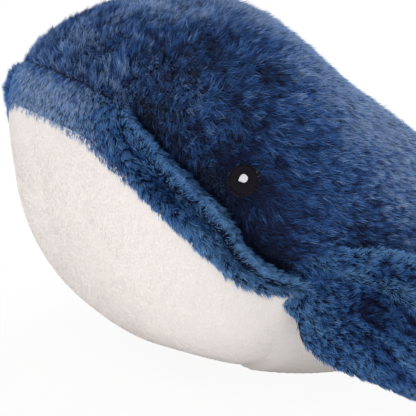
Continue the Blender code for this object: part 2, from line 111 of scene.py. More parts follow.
# Cloths: how far each lies below the tips of its pile, where it sinks, rises or tucks in, and how the belly sags
FUR_CLOTH_DEPTH = 0.0036
LIP_CLOTH_DEPTH = 0.0018
VELOUR_CLOTH_DEPTH = 0.0011
LIMB_CLOTH_DEPTH = 0.003
HEAD_FUR_SINK = 0.0016
SNOUT_FUR_SINK = 0.0016
ROLL_VALLEY_DEPTH = 0.0065
ROLL_VALLEY_WIDTH = 0.008
LIP_CREASE_DEPTH = 0.005
THROAT_RISE = 0.0012
THROAT_HOLLOW = 0.0045
CREAM_TUCK = 0.0028
FIN_ROOT_SWELL = 0.0055
THIN_EDGE = 0.0003
FLOOR_CLEARANCE = 0.0003
FLAT_ON_FLOOR = 0.0012
SAG = 0.0168
SAG_REACH = 0.041
SAG_ROWS = (0.9, 1.22, 1.66)

# Pile: the map that holds each strand's shade, where a strand bends, how tufts are stretched, and the back's zones,
# each with its name, first and last row, and how much denser than the recipe it grows, as crowd also says elsewhere
MAP = "OFBake"
MAP_HALF_WIDTH = 0.006
STRAND_STEPS = (0.0, 0.52, 1.0)
NARROW_TUFT = np.array([1.7, 0.5, 1.7])
ROUND_TUFT = np.array([1.1, 1.1, 1.1])
SQUARE_MILLIMETRES = 1e6
BACK_ZONES = (
    ("face", 0.0, 0.62, 1.25),
    ("cheek", 0.62, 1.0, 1.25),
    ("shoulder", 1.0, 1.25, 1.15),
    ("tail", 1.25, 2.0, 0.75),
)
SNOUT_OVERLAP = 0.15
FIN_CROWD = 1.03
FIN_UPPER_EDGE = (slice(13, 66, 3), 48)
FLUKE_CROWD = 0.75
NAP_START = 0.03
EYE_CLEARING, EYE_COMBED, EYE_SHADE = 0.0055, 0.009, 0.014
BACK_SEED, BELLY_SEED, LIP_SEED, FIN_SEED, FLUKE_SEED = 100, 300, 500, 700, 900

# Stitches: how high they stand, and their number
EYE_DOME, EYE_THREADS = 0.0009, 22
GLINT_DOME, GLINT_THREADS, GLINT_RISE = 0.0006, 7, 0.0008
GLINT_END_DOME, GLINT_END_THREADS, GLINT_END_SIZE = 0.0004, 2, 0.3
RIM_THREADS, RIM_SEED = 260, 41
DISC_RINGS, DISC_SPOKES, WHIP_STITCHES = 26, 96, 46

SIDES = (("left", 1), ("right", -1))

# The stage, plain colours, and how fabrics shine
CAMERA_AIM = (0.0397, -0.0211, 0.0715)
LAMP_AIM_HEIGHT = 0.07
FLOOR_HALF_WIDTH = 6.0
WHITE = (1, 1, 1, 1)
GREY = (0.5, 0.5, 0.5, 1)
FLOOR_GLOW = 0.92
FABRIC_SPECULAR = 0.12
FABRIC_SHEEN_ROUGHNESS = 0.4


def unit(vectors):
    return vectors / np.maximum(np.linalg.norm(vectors, axis=-1, keepdims=True), 1e-12)


def dot(a, b):
    return (a * b).sum(-1, keepdims=True)


def steady_curve(places, values, at, first_slope=None):
    """A smooth curve through the values that never swings past them."""
    places, values, at = (np.asarray(x, float) for x in (places, values, at))
    rises = np.diff(values) / np.diff(places)
    before, after = rises[:-1], rises[1:]
    same = before * after > 0
    inner = np.where(same, 2 * before * after / np.where(same, before + after, 1.0), 0.0)
    slopes = np.concatenate([[rises[0] if first_slope is None else first_slope], inner, [rises[-1]]])
    i = np.clip(np.searchsorted(places, at) - 1, 0, len(rises) - 1)
    width = places[i + 1] - places[i]
    t = (at - places[i]) / width
    start = (1 + 2 * t) * (1 - t) ** 2 * values[i] + t * (1 - t) ** 2 * width * slopes[i]
    end = t * t * (3 - 2 * t) * values[i + 1] + t * t * (t - 1) * width * slopes[i + 1]
    return start + end


def eased(value, start, end):
    """0 up to the start, 1 from the end on, and smooth between."""
    t = np.clip((value - start) / (end - start), 0, 1)
    return t * t * (3 - 2 * t)


def ramp(value, start, width):
    """0 up to the start, then rising evenly to 1 over the width."""
    return np.clip((value - start) / width, 0, 1)


def near(value, width, place=0.0):
    """1 at a place, fading smoothly to 0 a few widths away from it."""
    return np.exp(-(((value - place) / width) ** 2))


def powered(value, power):
    """The value's size to the power 2 / power, with its sign kept."""
    return np.sign(value) * np.abs(value) ** (2 / power)


def body_section(row):
    """Half width, underside, top and widest height of the body at rows from 1 (head) to 2 (tail seam)."""
    back = np.maximum(row - 1, 0) * TAIL_SEAM_BACK
    half_width = steady_curve(SECTION_BACKS, SECTION_HALF_WIDTHS, back, 0.0)
    underside = steady_curve(SECTION_BACKS, SECTION_UNDERSIDES, back, 0.0)
    top = steady_curve(SECTION_BACKS, SECTION_TOPS, back, 0.0)
    head_share = (HEAD_WIDEST_HEIGHT + FLOOR_CUT) / (HEAD_TOP + FLOOR_CUT)
    share = head_share + (0.5 - head_share) * np.maximum(row - 1, 0)
    return half_width, underside, top, underside + share * (top - underside)


def form_point(row, angle, depth):
    """Points on the body's left half, depth below the tips of the pile, in the row frame."""
    row, angle, depth = np.broadcast_arrays(*(np.asarray(x, float) for x in (row, angle, depth)))
    half_width, underside, top, widest = body_section(row)
    rise = np.cos(angle)
    inset = depth * np.minimum(1.0, (top - underside) / 2 / (SKINS_IN_HALF_TAIL * SKIN))
    above = rise >= 0
    reach_up = np.where(above, top - widest, widest - underside) - inset
    side = powered(np.sin(angle), np.where(above, CROWN_POWER, BELLY_POWER))
    height = widest + reach_up * powered(rise, np.where(above, CROWN_POWER, BELLY_POWER))
    turn = np.minimum(row, 1.0) * math.pi / 2
    reach = NOSE_REACH * (1 + FACE_LEAN_SHARE * rise) - depth
    face_x = (half_width - depth) * side * powered(np.sin(turn), PLAN_POWER)
    face_y = -reach * side * powered(np.maximum(np.cos(turn), 0.0), PLAN_POWER)
    x = np.where(row >= 1, (half_width - depth) * side, face_x)
    y = np.where(row >= 1, (row - 1) * TAIL_SEAM_BACK, face_y)
    return np.stack([x, y - MIDDLE, height], -1)


def seam_angle(row, shares):
    """The angle at which a seam crosses the section at each row."""
    row = np.asarray(row, float)
    _, underside, top, widest = body_section(row)
    height = underside + steady_curve(SEAM_ROW_SHARES, shares, row) * (top - underside)
    up = np.clip((height - widest) / (top - widest), 0, 1) ** (CROWN_POWER / 2)
    down = np.clip((widest - height) / (widest - underside), 0, 1) ** (BELLY_POWER / 2)
    return np.where(height >= widest, np.arccos(up), np.arccos(-down))


def lattice(cells, seed):
    """Evenly spread numbers from 0 to 1, the same for the same cell and seed."""
    with np.errstate(over="ignore"):
        mixed = cells.astype(np.int64).astype(np.uint64)
        h = mixed[..., 0] * np.uint64(73856093) ^ mixed[..., 1] * np.uint64(19349663)
        h = h ^ mixed[..., 2] * np.uint64(83492791) ^ np.uint64(seed * 2654435761 + 97)
        for shift in (33, 29, 32):
            h = (h ^ (h >> np.uint64(shift))) * np.uint64(0xFF51AFD7ED558CCD)
    return (h >> np.uint64(11)).astype(float) / float(1 << 53)


def drift(points, size, seed):
    """Smooth noise from -1 to 1 over space, with features of a size."""
    scaled = points / size
    base = np.floor(scaled)
    t = scaled - base
    t = t * t * (3 - 2 * t)
    total = 0.0
    for corner in np.ndindex(2, 2, 2):
        ahead = np.array(corner)
        weight = np.prod(np.where(ahead, t, 1 - t), axis=-1)
        total = total + weight * lattice(base + ahead, seed)
    return 2 * total - 1


def tuft_centres(points, size, seed):
    """For each point, the nearest of a field of scattered tuft centres, and a number of its own."""
    base = np.floor(points / size)
    best = np.full(len(points), np.inf)
    centre = np.zeros_like(points)
    number = np.zeros(len(points))
    for step in np.ndindex(3, 3, 3):
        cell = base + np.array(step) - 1
        place = [lattice(cell, seed + k) for k in range(3)]
        place = (cell + np.stack(place, -1)) * size
        far = ((points - place) ** 2).sum(-1)
        nearer = far < best
        best = np.where(nearer, far, best)
        centre = np.where(nearer[:, None], place, centre)
        number = np.where(nearer, lattice(cell, seed + 7), number)
    return centre, number


class Cloth:
    """A grid of points over a surface, with what strands need to know at any place on it."""

    def __init__(self, points, **fields):
        self.points = points
        across = np.gradient(points, axis=1)
        along = np.gradient(points, axis=0)
        self.normals = unit(np.cross(across, along))
        self.fields = {name: np.broadcast_to(value, points.shape[:2]) for name, value in fields.items()}

    def sow(self, density, rng, crowd=1.0, keep=None):
        """Roots spread evenly, density times crowd to a square millimetre: points, normals and the fields there."""
        p = self.points
        a, b = p[1:, :-1] - p[:-1, :-1], p[:-1, 1:] - p[:-1, :-1]
        size = np.linalg.norm(np.cross(a, b), axis=-1)
        if keep is not None:
            size = size * keep[:-1, :-1]
        count = int(float(size.sum()) * SQUARE_MILLIMETRES * density * crowd)
        share = np.cumsum(size.ravel())
        cell = np.searchsorted(share, rng.random(count) * share[-1])
        i, j = np.unravel_index(np.minimum(cell, size.size - 1), size.shape)
        u, v = rng.random(count), rng.random(count)

        def mix(grid):
            w = np.stack([(1 - u) * (1 - v), u * (1 - v), (1 - u) * v, u * v], 0)
            if grid.ndim == 3:
                w = w[..., None]
            return w[0] * grid[i, j] + w[1] * grid[i + 1, j] + w[2] * grid[i, j + 1] + w[3] * grid[i + 1, j + 1]

        return mix(p), unit(mix(self.normals)), {name: mix(grid) for name, grid in self.fields.items()}


def picked(kept, at, *arrays):
    """The strands' fields and arrays without the strands that aren't kept."""
    return {name: value[kept] for name, value in at.items()}, *(array[kept] for array in arrays)


def mirrored(array):
    return array * np.array([-1.0, 1.0, 1.0])


def on_side(sign, *arrays):
    """Arrays of the left side's places or directions, turned over for the right side where sign is -1."""
    return [array if sign > 0 else mirrored(array) for array in arrays]


def sew_on(piece, body, solids=()):
    """Says what a piece rides on and which solids it stands for, and hides those solids."""
    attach(piece, body)
    if solids:
        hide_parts(*solids)


def new_object(name, mesh, look):
    mesh.materials.append(look)
    made = bpy.data.objects.new(name, mesh)
    bpy.context.scene.collection.objects.link(made)
    return made


def array_mesh(name, points, corners, totals, places):
    """A mesh from arrays: points, the corners of its faces, the corners in each face and their map places."""
    mesh = bpy.data.meshes.new(name)
    mesh.vertices.add(len(points))
    mesh.vertices.foreach_set("co", points.astype(np.float32).ravel())
    mesh.loops.add(len(corners))
    mesh.loops.foreach_set("vertex_index", corners.astype(np.int32))
    mesh.polygons.add(len(totals))
    starts = np.concatenate([[0], np.cumsum(totals)[:-1]])
    mesh.polygons.foreach_set("loop_start", starts.astype(np.int32))
    mesh.update(calc_edges=True)
    mesh.shade_smooth()
    layer = mesh.uv_layers.new(name=MAP)
    layer.uv.foreach_set("vector", places.astype(np.float32).ravel())
    return mesh


def grid_object(name, points, look, turned=False):
    """A smooth sheet over a grid of points, mapped evenly onto the unit square."""
    rows, columns = points.shape[:2]
    index = np.arange(rows * columns).reshape(rows, columns)
    quads = np.stack([index[:-1, :-1], index[:-1, 1:], index[1:, 1:], index[1:, :-1]], -1).reshape(-1, 4)
    if turned:
        quads = quads[:, ::-1]
    corners = quads.ravel()
    u = np.linspace(0.01, 0.99, columns)
    v = np.linspace(0.01, 0.99, rows)
    places = np.stack(np.meshgrid(u, v), -1).reshape(-1, 2)[corners]
    mesh = array_mesh(name, points.reshape(-1, 3), corners, np.full(len(quads), 4), places)
    return new_object(name, mesh, look)


def strand_object(name, roots, normals, flows, fur, fields, seed, look):
    """Fur strands as thin bent blades. fur holds a recipe, and fields holds scales for each strand or for all."""
    rng = np.random.default_rng(seed)
    count, steps = len(roots), STRAND_STEPS
    tousle, cell = fields.get("tousle", 1.0), fields.get("cell", 1.0)
    # The nap turns from place to place, and each strand strays from it
    sides = unit(np.cross(normals, flows))
    flows = unit(np.cross(sides, normals))
    turn = drift(roots, 0.016, seed + 1) + 0.8 * drift(roots, 0.006, seed + 2) + 0.7 * drift(roots, 0.0026, seed + 9)
    turn = tousle * fur.sway * turn
    turn = turn + fur.stray * (0.4 + 0.6 * tousle) * rng.normal(size=count)
    flows = flows * np.cos(turn)[:, None] + sides * np.sin(turn)[:, None]
    # Strands lean to the nearest tuft's centre
    centre, number = tuft_centres(roots * cell, fur.tuft, seed + 3)
    pull = centre / cell - roots
    pull = pull - dot(pull, normals) * normals
    outer = np.clip(np.linalg.norm(pull, axis=1) / (0.6 * fur.tuft), 0, 1)
    pull = pull * (fur.gather * fields.get("gather", 1.0) * (0.6 + 0.8 * number))[:, None]
    length = fur.pile * fields.get("long", 1.0) * (0.72 + 0.5 * rng.random(count)) * (0.8 + 0.4 * number)
    waves = 0.45 * drift(roots, 0.009, seed + 4) * np.minimum(tousle, 1.0)
    lift = fields.get("lift", 1.0) * (1 + waves + 0.15 * rng.normal(size=count))
    at_root = np.clip(fur.root_lift * lift, 0.15, 1.5)
    at_tip = np.clip(fur.tip_lift * lift, -0.2, 1.3)
    # Each strand bends down from its slope at the root to its slope at the tip, and bows to one side
    path, ways = [roots], []
    for low, high in zip(steps, steps[1:]):
        bend = at_root + (at_tip - at_root) * (low + high) / 2
        way = flows * np.cos(bend)[:, None] + normals * np.sin(bend)[:, None]
        ways.append(way)
        path.append(path[-1] + way * (length * (high - low))[:, None])
    curl = fur.curl * tousle * length * rng.normal(size=count)
    for k, step in enumerate(steps):
        wave = math.sin(1.3 * math.pi * step)
        path[k] = path[k] + pull * step**1.5 + sides * (curl * wave)[:, None]
    # A blade has two edges up to its last bend, and then comes to a point
    spin = (rng.random(count) - 0.5) * 2 * fur.spin
    broad = fur.width * (0.75 + 0.5 * rng.random(count)) * fields.get("broad", 1.0)
    rings = []
    for k in range(len(ways)):
        flat = unit(np.cross(ways[k], normals))
        out = np.cross(flat, ways[k])
        edge = flat * np.cos(spin)[:, None] + out * np.sin(spin)[:, None]
        half = edge * (broad * (1.0 - 0.35 * steps[k]) / 2)[:, None]
        rings += [path[k] - half, path[k] + half]
    points = np.stack(rings + [path[-1]], 1)
    points[..., 2] = np.maximum(points[..., 2], FLOOR_CLEARANCE)
    used = points.shape[1]
    quads = len(ways) - 1
    faces = [corner for k in range(quads) for corner in (2 * k, 2 * k + 1, 2 * k + 3, 2 * k + 2)]
    faces = np.array(faces + [used - 3, used - 2, used - 1])
    corners = (np.arange(count)[:, None] * used + faces).ravel()
    totals = np.tile([4] * quads + [3], count)
    # The map holds a strand's shade across and its length upwards
    # Tufts differ in tone at random, and strands at a tuft's edge are darker: painted shade between tufts
    tone = fur.tuft_tone_and_shade * fields.get("tone", 1.0)
    shade = fields["shade"] + tone * (number - 0.5 + 0.6 * (0.6 - outer**2))
    shade = np.clip(shade, 0.0, 1.0) * (1 - 4 * MAP_HALF_WIDTH) + 2 * MAP_HALF_WIDTH
    across = np.array([-1, 1] * len(ways) + [0]) * MAP_HALF_WIDTH
    up = np.array([step for step in steps[:-1] for _ in range(2)] + [1.0]) * 0.96 + 0.02
    places = np.stack([shade[:, None] + across, np.broadcast_to(up, (count, used))], -1)[:, faces].reshape(-1, 2)
    mesh = array_mesh(name, points.reshape(-1, 3), corners, totals, places)
    if fur.soft:
        mesh.normals_split_custom_set(np.repeat(normals, len(faces), axis=0))
    return new_object(name, mesh, look)


class FurRecipe(bpy.types.PropertyGroup):
    """How one kind of pile grows."""

    pile: bpy.props.FloatProperty(
        name="Pile", description="Length of a strand", default=0.0058, min=0.0005, max=0.03, unit="LENGTH", precision=4
    )
    width: bpy.props.FloatProperty(
        name="Width", description="Width of a strand",
        default=0.00028, min=0.00005, max=0.003, unit="LENGTH", precision=5,
    )
    density: bpy.props.FloatProperty(
        name="Density", description="Strands on each square millimetre", default=6.0, min=0.1, max=12.0
    )
    tuft: bpy.props.FloatProperty(
        name="Tuft", description="Distance between tufts",
        default=0.0030, min=0.0005, max=0.03, unit="LENGTH", precision=4,
    )
    gather: bpy.props.FloatProperty(
        name="Gather", description="How far strands lean to their tuft",
        default=0.45, min=0.0, max=1.0, subtype="FACTOR",
    )
    sway: bpy.props.FloatProperty(
        name="Sway", description="How far the nap turns from place to place",
        default=0.75, min=0.0, max=3.1, subtype="ANGLE",
    )
    stray: bpy.props.FloatProperty(
        name="Stray", description="How far single strands turn", default=0.22, min=0.0, max=3.1, subtype="ANGLE"
    )
    spin: bpy.props.FloatProperty(
        name="Spin", description="How far a strand rolls about itself", default=0.9, min=0.0, max=1.57, subtype="ANGLE"
    )
    soft: bpy.props.BoolProperty(name="Soft", description="Light the strands as the cloth under them", default=False)
    curl: bpy.props.FloatProperty(
        name="Curl", description="How far a strand bows to one side", default=0.12, min=0.0, max=0.5, subtype="FACTOR"
    )
    # How far tufts differ in tone, and how much painted shade falls between them
    tuft_tone_and_shade: bpy.props.FloatProperty(
        name="Tuft tone", description="How much tufts differ in brightness",
        default=0.2, min=0.0, max=1.0, subtype="FACTOR",
    )
    root_lift: bpy.props.FloatProperty(
        name="Root lift", description="Slope of a strand at its root", default=1.15, min=0.0, max=1.57, subtype="ANGLE"
    )
    tip_lift: bpy.props.FloatProperty(
        name="Tip lift", description="Slope of a strand at its tip", default=0.5, min=-0.3, max=1.57, subtype="ANGLE"
    )


class WhaleColours(bpy.types.PropertyGroup):
    """The colours of the fabrics and threads."""

    tip: bpy.props.FloatVectorProperty(
        name="Fur tips", description="Colour of the fur's tips",
        default=(0.037, 0.140, 0.430), subtype="COLOR", min=0, max=1,
    )
    # The roots' darker colour is painted shade deep in the pile
    root: bpy.props.FloatVectorProperty(
        name="Fur roots", description="Colour at the fur's roots",
        default=(0.004, 0.007, 0.024), subtype="COLOR", min=0, max=1,
    )
    deep: bpy.props.FloatVectorProperty(
        name="Fur shadows", description="Colour of the darkest strands",
        default=(0.0125, 0.0160, 0.053), subtype="COLOR", min=0, max=1,
    )
    sleek: bpy.props.FloatVectorProperty(
        name="Sleek highlights", description="Colour of the lightest strands on lips and fins",
        default=(0.15, 0.34, 0.64), subtype="COLOR", min=0, max=1,
    )
    pale: bpy.props.FloatVectorProperty(
        name="Fur highlights", description="Colour of the lightest strands",
        default=(0.30, 0.43, 0.66), subtype="COLOR", min=0, max=1,
    )
    cream: bpy.props.FloatVectorProperty(
        name="Velour", description="Colour of the belly",
        default=(0.80, 0.75, 0.722), subtype="COLOR", min=0, max=1,
    )
    thread: bpy.props.FloatVectorProperty(
        name="Eye thread", description="Colour of the eyes",
        default=(0.0046, 0.0036, 0.0068), subtype="COLOR", min=0, max=1,
    )
    frayed: bpy.props.FloatVectorProperty(
        name="Frayed ends", description="Colour of the lightest thread ends round the eyes",
        default=(0.15, 0.125, 0.13), subtype="COLOR", min=0, max=1,
    )
    glint: bpy.props.FloatVectorProperty(
        name="Glint thread", description="Colour of the glints",
        default=(0.62, 0.61, 0.64), subtype="COLOR", min=0, max=1,
    )


class WhaleEye(bpy.types.PropertyGroup):
    """The stitched eyes."""

    radius: bpy.props.FloatProperty(
        name="Radius", description="Radius of an eye",
        default=0.0054, min=0.001, max=0.02, unit="LENGTH", precision=4,
    )
    glint: bpy.props.FloatProperty(
        name="Glint radius", description="Radius of the white glint",
        default=0.0016, min=0.0003, max=0.01, unit="LENGTH", precision=4,
    )
    seat: bpy.props.FloatProperty(
        name="Seat", description="How far an eye sits above the fur's tips",
        default=-0.0016, min=-0.01, max=0.01, unit="LENGTH", precision=4,
    )


class WhaleStage(bpy.types.PropertyGroup):
    """Camera and light."""

    azimuth: bpy.props.FloatProperty(
        name="Azimuth", description="Where the camera stands round the whale", default=math.radians(62), subtype="ANGLE"
    )
    elevation: bpy.props.FloatProperty(
        name="Elevation", description="How far the camera looks down", default=math.radians(15), subtype="ANGLE"
    )
    distance: bpy.props.FloatProperty(
        name="Distance", description="From the camera to the whale's face", default=0.75, min=0.1, unit="LENGTH"
    )
    lens: bpy.props.FloatProperty(
        name="Lens", description="Focal length for a 36 mm sensor", default=166.4, min=10, unit="CAMERA"
    )
    key: bpy.props.FloatProperty(
        name="Key light", description="Power of the large light at the upper left", default=1.3, min=0, unit="POWER"
    )
    low: bpy.props.FloatProperty(
        name="Low light", description="Power of the light near the floor", default=4.7, min=0, unit="POWER"
    )
    rim: bpy.props.FloatProperty(
        name="Rim light", description="Power of the large light behind", default=14.5, min=0, unit="POWER"
    )
    room: bpy.props.FloatProperty(
        name="Room light", description="Strength of the even light all round", default=0.82, min=0
    )


def add_node(tree, kind, sockets=None, **settings):
    """A new node. Each named socket takes its value, or is joined to it where it is another node's output."""
    made = tree.nodes.new(kind)
    for name, value in settings.items():
        setattr(made, name, value)
    for name, value in (sockets or {}).items():
        if isinstance(value, bpy.types.NodeSocket):
            tree.links.new(value, made.inputs[name])
        else:
            made.inputs[name].default_value = value
    return made


def new_group(name, inputs, mask):
    """A node group with named inputs that puts out a colour and a mask, and its own two end nodes."""
    group = bpy.data.node_groups.new(name, "ShaderNodeTree")
    for socket, value in inputs.items():
        kind = "NodeSocketFloat" if isinstance(value, float) else "NodeSocketColor"
        group.interface.new_socket(name=socket, in_out="INPUT", socket_type=kind).default_value = value
    group.interface.new_socket(name="Colour", in_out="OUTPUT", socket_type="NodeSocketColor")
    group.interface.new_socket(name=mask, in_out="OUTPUT", socket_type="NodeSocketFloat")
    return group, group.nodes.new("NodeGroupInput"), group.nodes.new("NodeGroupOutput")


def strand_colour_group():
    """A node group: a strand's colour from its shade across the map, which holds its own tone together with painted
    light and shade, and from root to tip up the map, darker at the root as painted shade deep in the pile.
    """
    found = bpy.data.node_groups.get("Strand colour")
    if found:
        return found
    inputs = dict.fromkeys(("Root", "Deep", "Tip", "Pale"), GREY)
    group, into, out = new_group("Strand colour", inputs, "Along")
    place = add_node(group, "ShaderNodeUVMap", uv_map=MAP)
    split = add_node(group, "ShaderNodeSeparateXYZ", {"Vector": place.outputs["UV"]})

    def risen(source, low, high, curve="LINEAR"):
        sockets = {"From Min": low, "From Max": high, "Value": source}
        return add_node(group, "ShaderNodeMapRange", sockets, interpolation_type=curve).outputs["Result"]

    def mixed(factor, first, second):
        sockets = {"Factor": factor, "A": first, "B": second}
        return add_node(group, "ShaderNodeMix", sockets, data_type="RGBA").outputs["Result"]

    shade, up = split.outputs["X"], risen(split.outputs["Y"], 0.12, 0.92, "SMOOTHSTEP")
    strand = mixed(risen(shade, 0.0, 0.5), into.outputs["Deep"], into.outputs["Tip"])
    strand = mixed(risen(shade, 0.5, 1.05), strand, into.outputs["Pale"])
    # Towards the root the strand darkens: painted shade deep in the pile
    group.links.new(mixed(up, into.outputs["Root"], strand), out.inputs["Colour"])
    group.links.new(up, out.inputs["Along"])
    return group


def new_look(name, colour, roughness, sheen=0.0):
    """A Principled material and its shader node."""
    look = bpy.data.materials.new(name)
    look.use_nodes = True
    shader = look.node_tree.nodes["Principled BSDF"]
    shader.inputs["Base Color"].default_value = (*colour, 1)
    shader.inputs["Roughness"].default_value = roughness
    shader.inputs["Sheen Weight"].default_value = sheen
    shader.inputs["Sheen Roughness"].default_value = FABRIC_SHEEN_ROUGHNESS
    shader.inputs["Specular IOR Level"].default_value = FABRIC_SPECULAR
    look.diffuse_color = (*colour, 1)
    return look, shader


def strand_look(name, root, deep, tip, pale, roughness, sheen):
    """A fur material: colour from the strand group, and rougher towards the tips."""
    found = bpy.data.materials.get(name)
    if found:
        return found
    look, shader = new_look(name, tip, roughness, sheen)
    shader.inputs["Sheen Tint"].default_value = (*(part / max(pale) for part in pale), 1)
    tree = look.node_tree
    colours = {"Root": (*root, 1), "Deep": (*deep, 1), "Tip": (*tip, 1), "Pale": (*pale, 1)}
    group = add_node(tree, "ShaderNodeGroup", colours, node_tree=strand_colour_group())
    tree.links.new(group.outputs["Colour"], shader.inputs["Base Color"])
    sockets = {"To Min": roughness - 0.15, "To Max": roughness, "Value": group.outputs["Along"]}
    rough = add_node(tree, "ShaderNodeMapRange", sockets)
    tree.links.new(rough.outputs["Result"], shader.inputs["Roughness"])
    return look


def mottle_group():
    """A node group: two tones that drift into each other, and a finer grain to raise as bumps."""
    found = bpy.data.node_groups.get("Mottle")
    if found:
        return found
    inputs = {"Dark": GREY, "Light": GREY, "Broad Scale": 60.0, "Fine Scale": 800.0, "Low": 0.3, "High": 0.62}
    group, into, out = new_group("Mottle", inputs, "Grain")
    place = add_node(group, "ShaderNodeTexCoord").outputs["Object"]

    def noise(size):
        sockets = {"Detail": 3, "Vector": place, "Scale": into.outputs[size]}
        return add_node(group, "ShaderNodeTexNoise", sockets).outputs["Fac"]

    sockets = {"Value": noise("Broad Scale"), "From Min": into.outputs["Low"], "From Max": into.outputs["High"]}
    steep = add_node(group, "ShaderNodeMapRange", sockets)
    sockets = {"Factor": steep.outputs["Result"], "A": into.outputs["Dark"], "B": into.outputs["Light"]}
    tone = add_node(group, "ShaderNodeMix", sockets, data_type="RGBA")
    group.links.new(tone.outputs["Result"], out.inputs["Colour"])
    group.links.new(noise("Fine Scale"), out.inputs["Grain"])
    return group


def mottled_look(name, dark, light, roughness, settings, raised):
    """A cloth or thread: its colour from the mottle group, and its grain raised where `raised` gives a height."""
    found = bpy.data.materials.get(name)
    if found:
        return found
    look, shader = new_look(name, light, roughness)
    tree = look.node_tree
    values = {"Dark": (*dark, 1), "Light": (*light, 1), **settings}
    group = add_node(tree, "ShaderNodeGroup", values, node_tree=mottle_group())
    tree.links.new(group.outputs["Colour"], shader.inputs["Base Color"])
    if raised:
        sockets = {"Strength": 0.6, "Distance": raised, "Height": group.outputs["Grain"]}
        bump = add_node(tree, "ShaderNodeBump", sockets)
        tree.links.new(bump.outputs["Normal"], shader.inputs["Normal"])
    return look


def toned(colour, share):
    """A colour made darker or lighter."""
    return tuple(share * part for part in colour)


def cloth_look(name, colour, deep, size, height):
    """A woven backing or velour: colour drifting between two tones, with a fine raised grain."""
    return mottled_look(name, deep, colour, 0.9, {"Fine Scale": 1 / size}, height)


def thread_look(name, colour, roughness):
    """Thread: a fine mottle of lighter and darker colour over the stitches."""
    light = tuple(min(1.3 * part + 0.004, 0.9) for part in colour)
    settings = {"Broad Scale": 2500, "Low": 0.0, "High": 1.0}
    return mottled_look(name, toned(colour, 0.7), light, roughness, settings, 0)


def fur_look(scene, sleek=False):
    """The navy fur, in two copies of one fabric. On the lips and fins its painted highlights are a purer blue and it
    has no sheen; elsewhere its painted highlights are greyer, a painted sheen, and it has some sheen.
    """
    colours = scene.whale_colours
    name, pale, sheen = ("Sleek navy fur", colours.sleek, 0.0) if sleek else ("Navy fur", colours.pale, 0.2)
    return strand_look(name, tuple(colours.root), tuple(colours.deep), tuple(colours.tip), tuple(pale), 0.75, sheen)


def backing_look(scene):
    """The woven navy backing that the fur grows from."""
    # Its colours are the fur's shadow colour and darker still: a real backing, painted as the shade between strands
    deep = tuple(scene.whale_colours.deep)
    return cloth_look("Fur backing", deep, toned(deep, 0.6), 0.0012, 0.0004)


def from_nose(points):
    """The nap's direction: away from the nose, towards the tail."""
    return points - (NOSE_TIP - np.array([0.0, MIDDLE, 0.0]))


def streaks(apart, across, along, seed):
    """Smooth noise drawn out along lines that fan from one place. apart holds the points' offsets from it."""
    far = np.linalg.norm(apart, axis=1)[:, None]
    usual = float(far.mean())
    turned = apart / far * (usual / across) + far / along * np.array([0.55, 0.35, 0.76])
    fine = drift(turned, 1.0, seed)
    return np.sign(fine) * np.abs(fine) ** 0.7


def eye_place():
    """The middle of the left eye on the tips of the pile, and its outward direction."""
    row = np.array(EYE_ROW)
    _, underside, top, widest = body_section(row)
    height = underside + EYE_HEIGHT_SHARE * (top - underside)
    angle = np.arccos(((height - widest) / (top - widest)) ** (CROWN_POWER / 2))
    step = 1e-4
    down = form_point(row, angle + step, 0.0) - form_point(row, angle - step, 0.0)
    back = form_point(row + step, angle, 0.0) - form_point(row - step, angle, 0.0)
    return form_point(row, angle, 0.0), unit(np.cross(down, back))


def settled(row, height):
    """Heights of the belly once its own weight has flattened it on the floor beside the fins."""
    start, full, end = SAG_ROWS
    sag = SAG * eased(row, start, full) * (1 - eased(row, full, end))
    low = np.clip(1 - height / SAG_REACH, 0, 1)
    return np.maximum(height - sag * low, FLOOR_CLEARANCE)


def lip_profile(share, steep):
    """A lip's rise across its width: 0 at both seams and 1 in the middle, rounder where steep is low."""
    return np.sin(math.pi * np.clip(share, 0, 1)) ** steep


def body_cloth(rows, first, last, columns, depth):
    """A grid of the body between two edge angles. depth takes the row, the angle and the share across."""
    share = np.linspace(0, 1, columns)[None, :]
    row = rows[:, None]
    angle = first[:, None] + (last - first)[:, None] * share
    return Cloth(form_point(row, angle, depth(row, angle, share)), row=row, angle=angle, share=share)


def body_rows(head, tail):
    """Rows from the nose to the head's widest, and from there to the tail's seam."""
    return np.concatenate([np.linspace(0, 1, head), np.linspace(1, 2, tail)[1:]])


def back_lower_edge(rows):
    """The angle of the lower edge of the back: over the lips, then along the cream."""
    top = seam_angle(rows, ROLL_TOP_SHARES)
    cream = seam_angle(rows, CREAM_EDGE_SHARES)
    return np.where(rows <= LIP_END, top, cream)


def back_cloth():
    """The left half of the back's cloth, pressed in over the upper lip's roll."""
    rows = body_rows(90, 120)
    edge = back_lower_edge(rows)

    def depth(row, angle, share):
        beside_roll = ramp(row, 0.36, 0.08) * ramp(1.02, row, 0.12)
        away = (back_lower_edge(row) - angle) * 0.07
        sunk = HEAD_FUR_SINK * (1 - eased(row, 1.1, 1.35))
        return FUR_CLOTH_DEPTH + sunk + ROLL_VALLEY_DEPTH * beside_roll * near(away, ROLL_VALLEY_WIDTH)

    return body_cloth(rows, np.zeros_like(rows), edge + 0.02, 90, depth)


def distance_to(points, line):
    """The distance from each point to the nearest of a line of places."""
    return np.min([np.linalg.norm(points - place, axis=1) for place in line], axis=0)


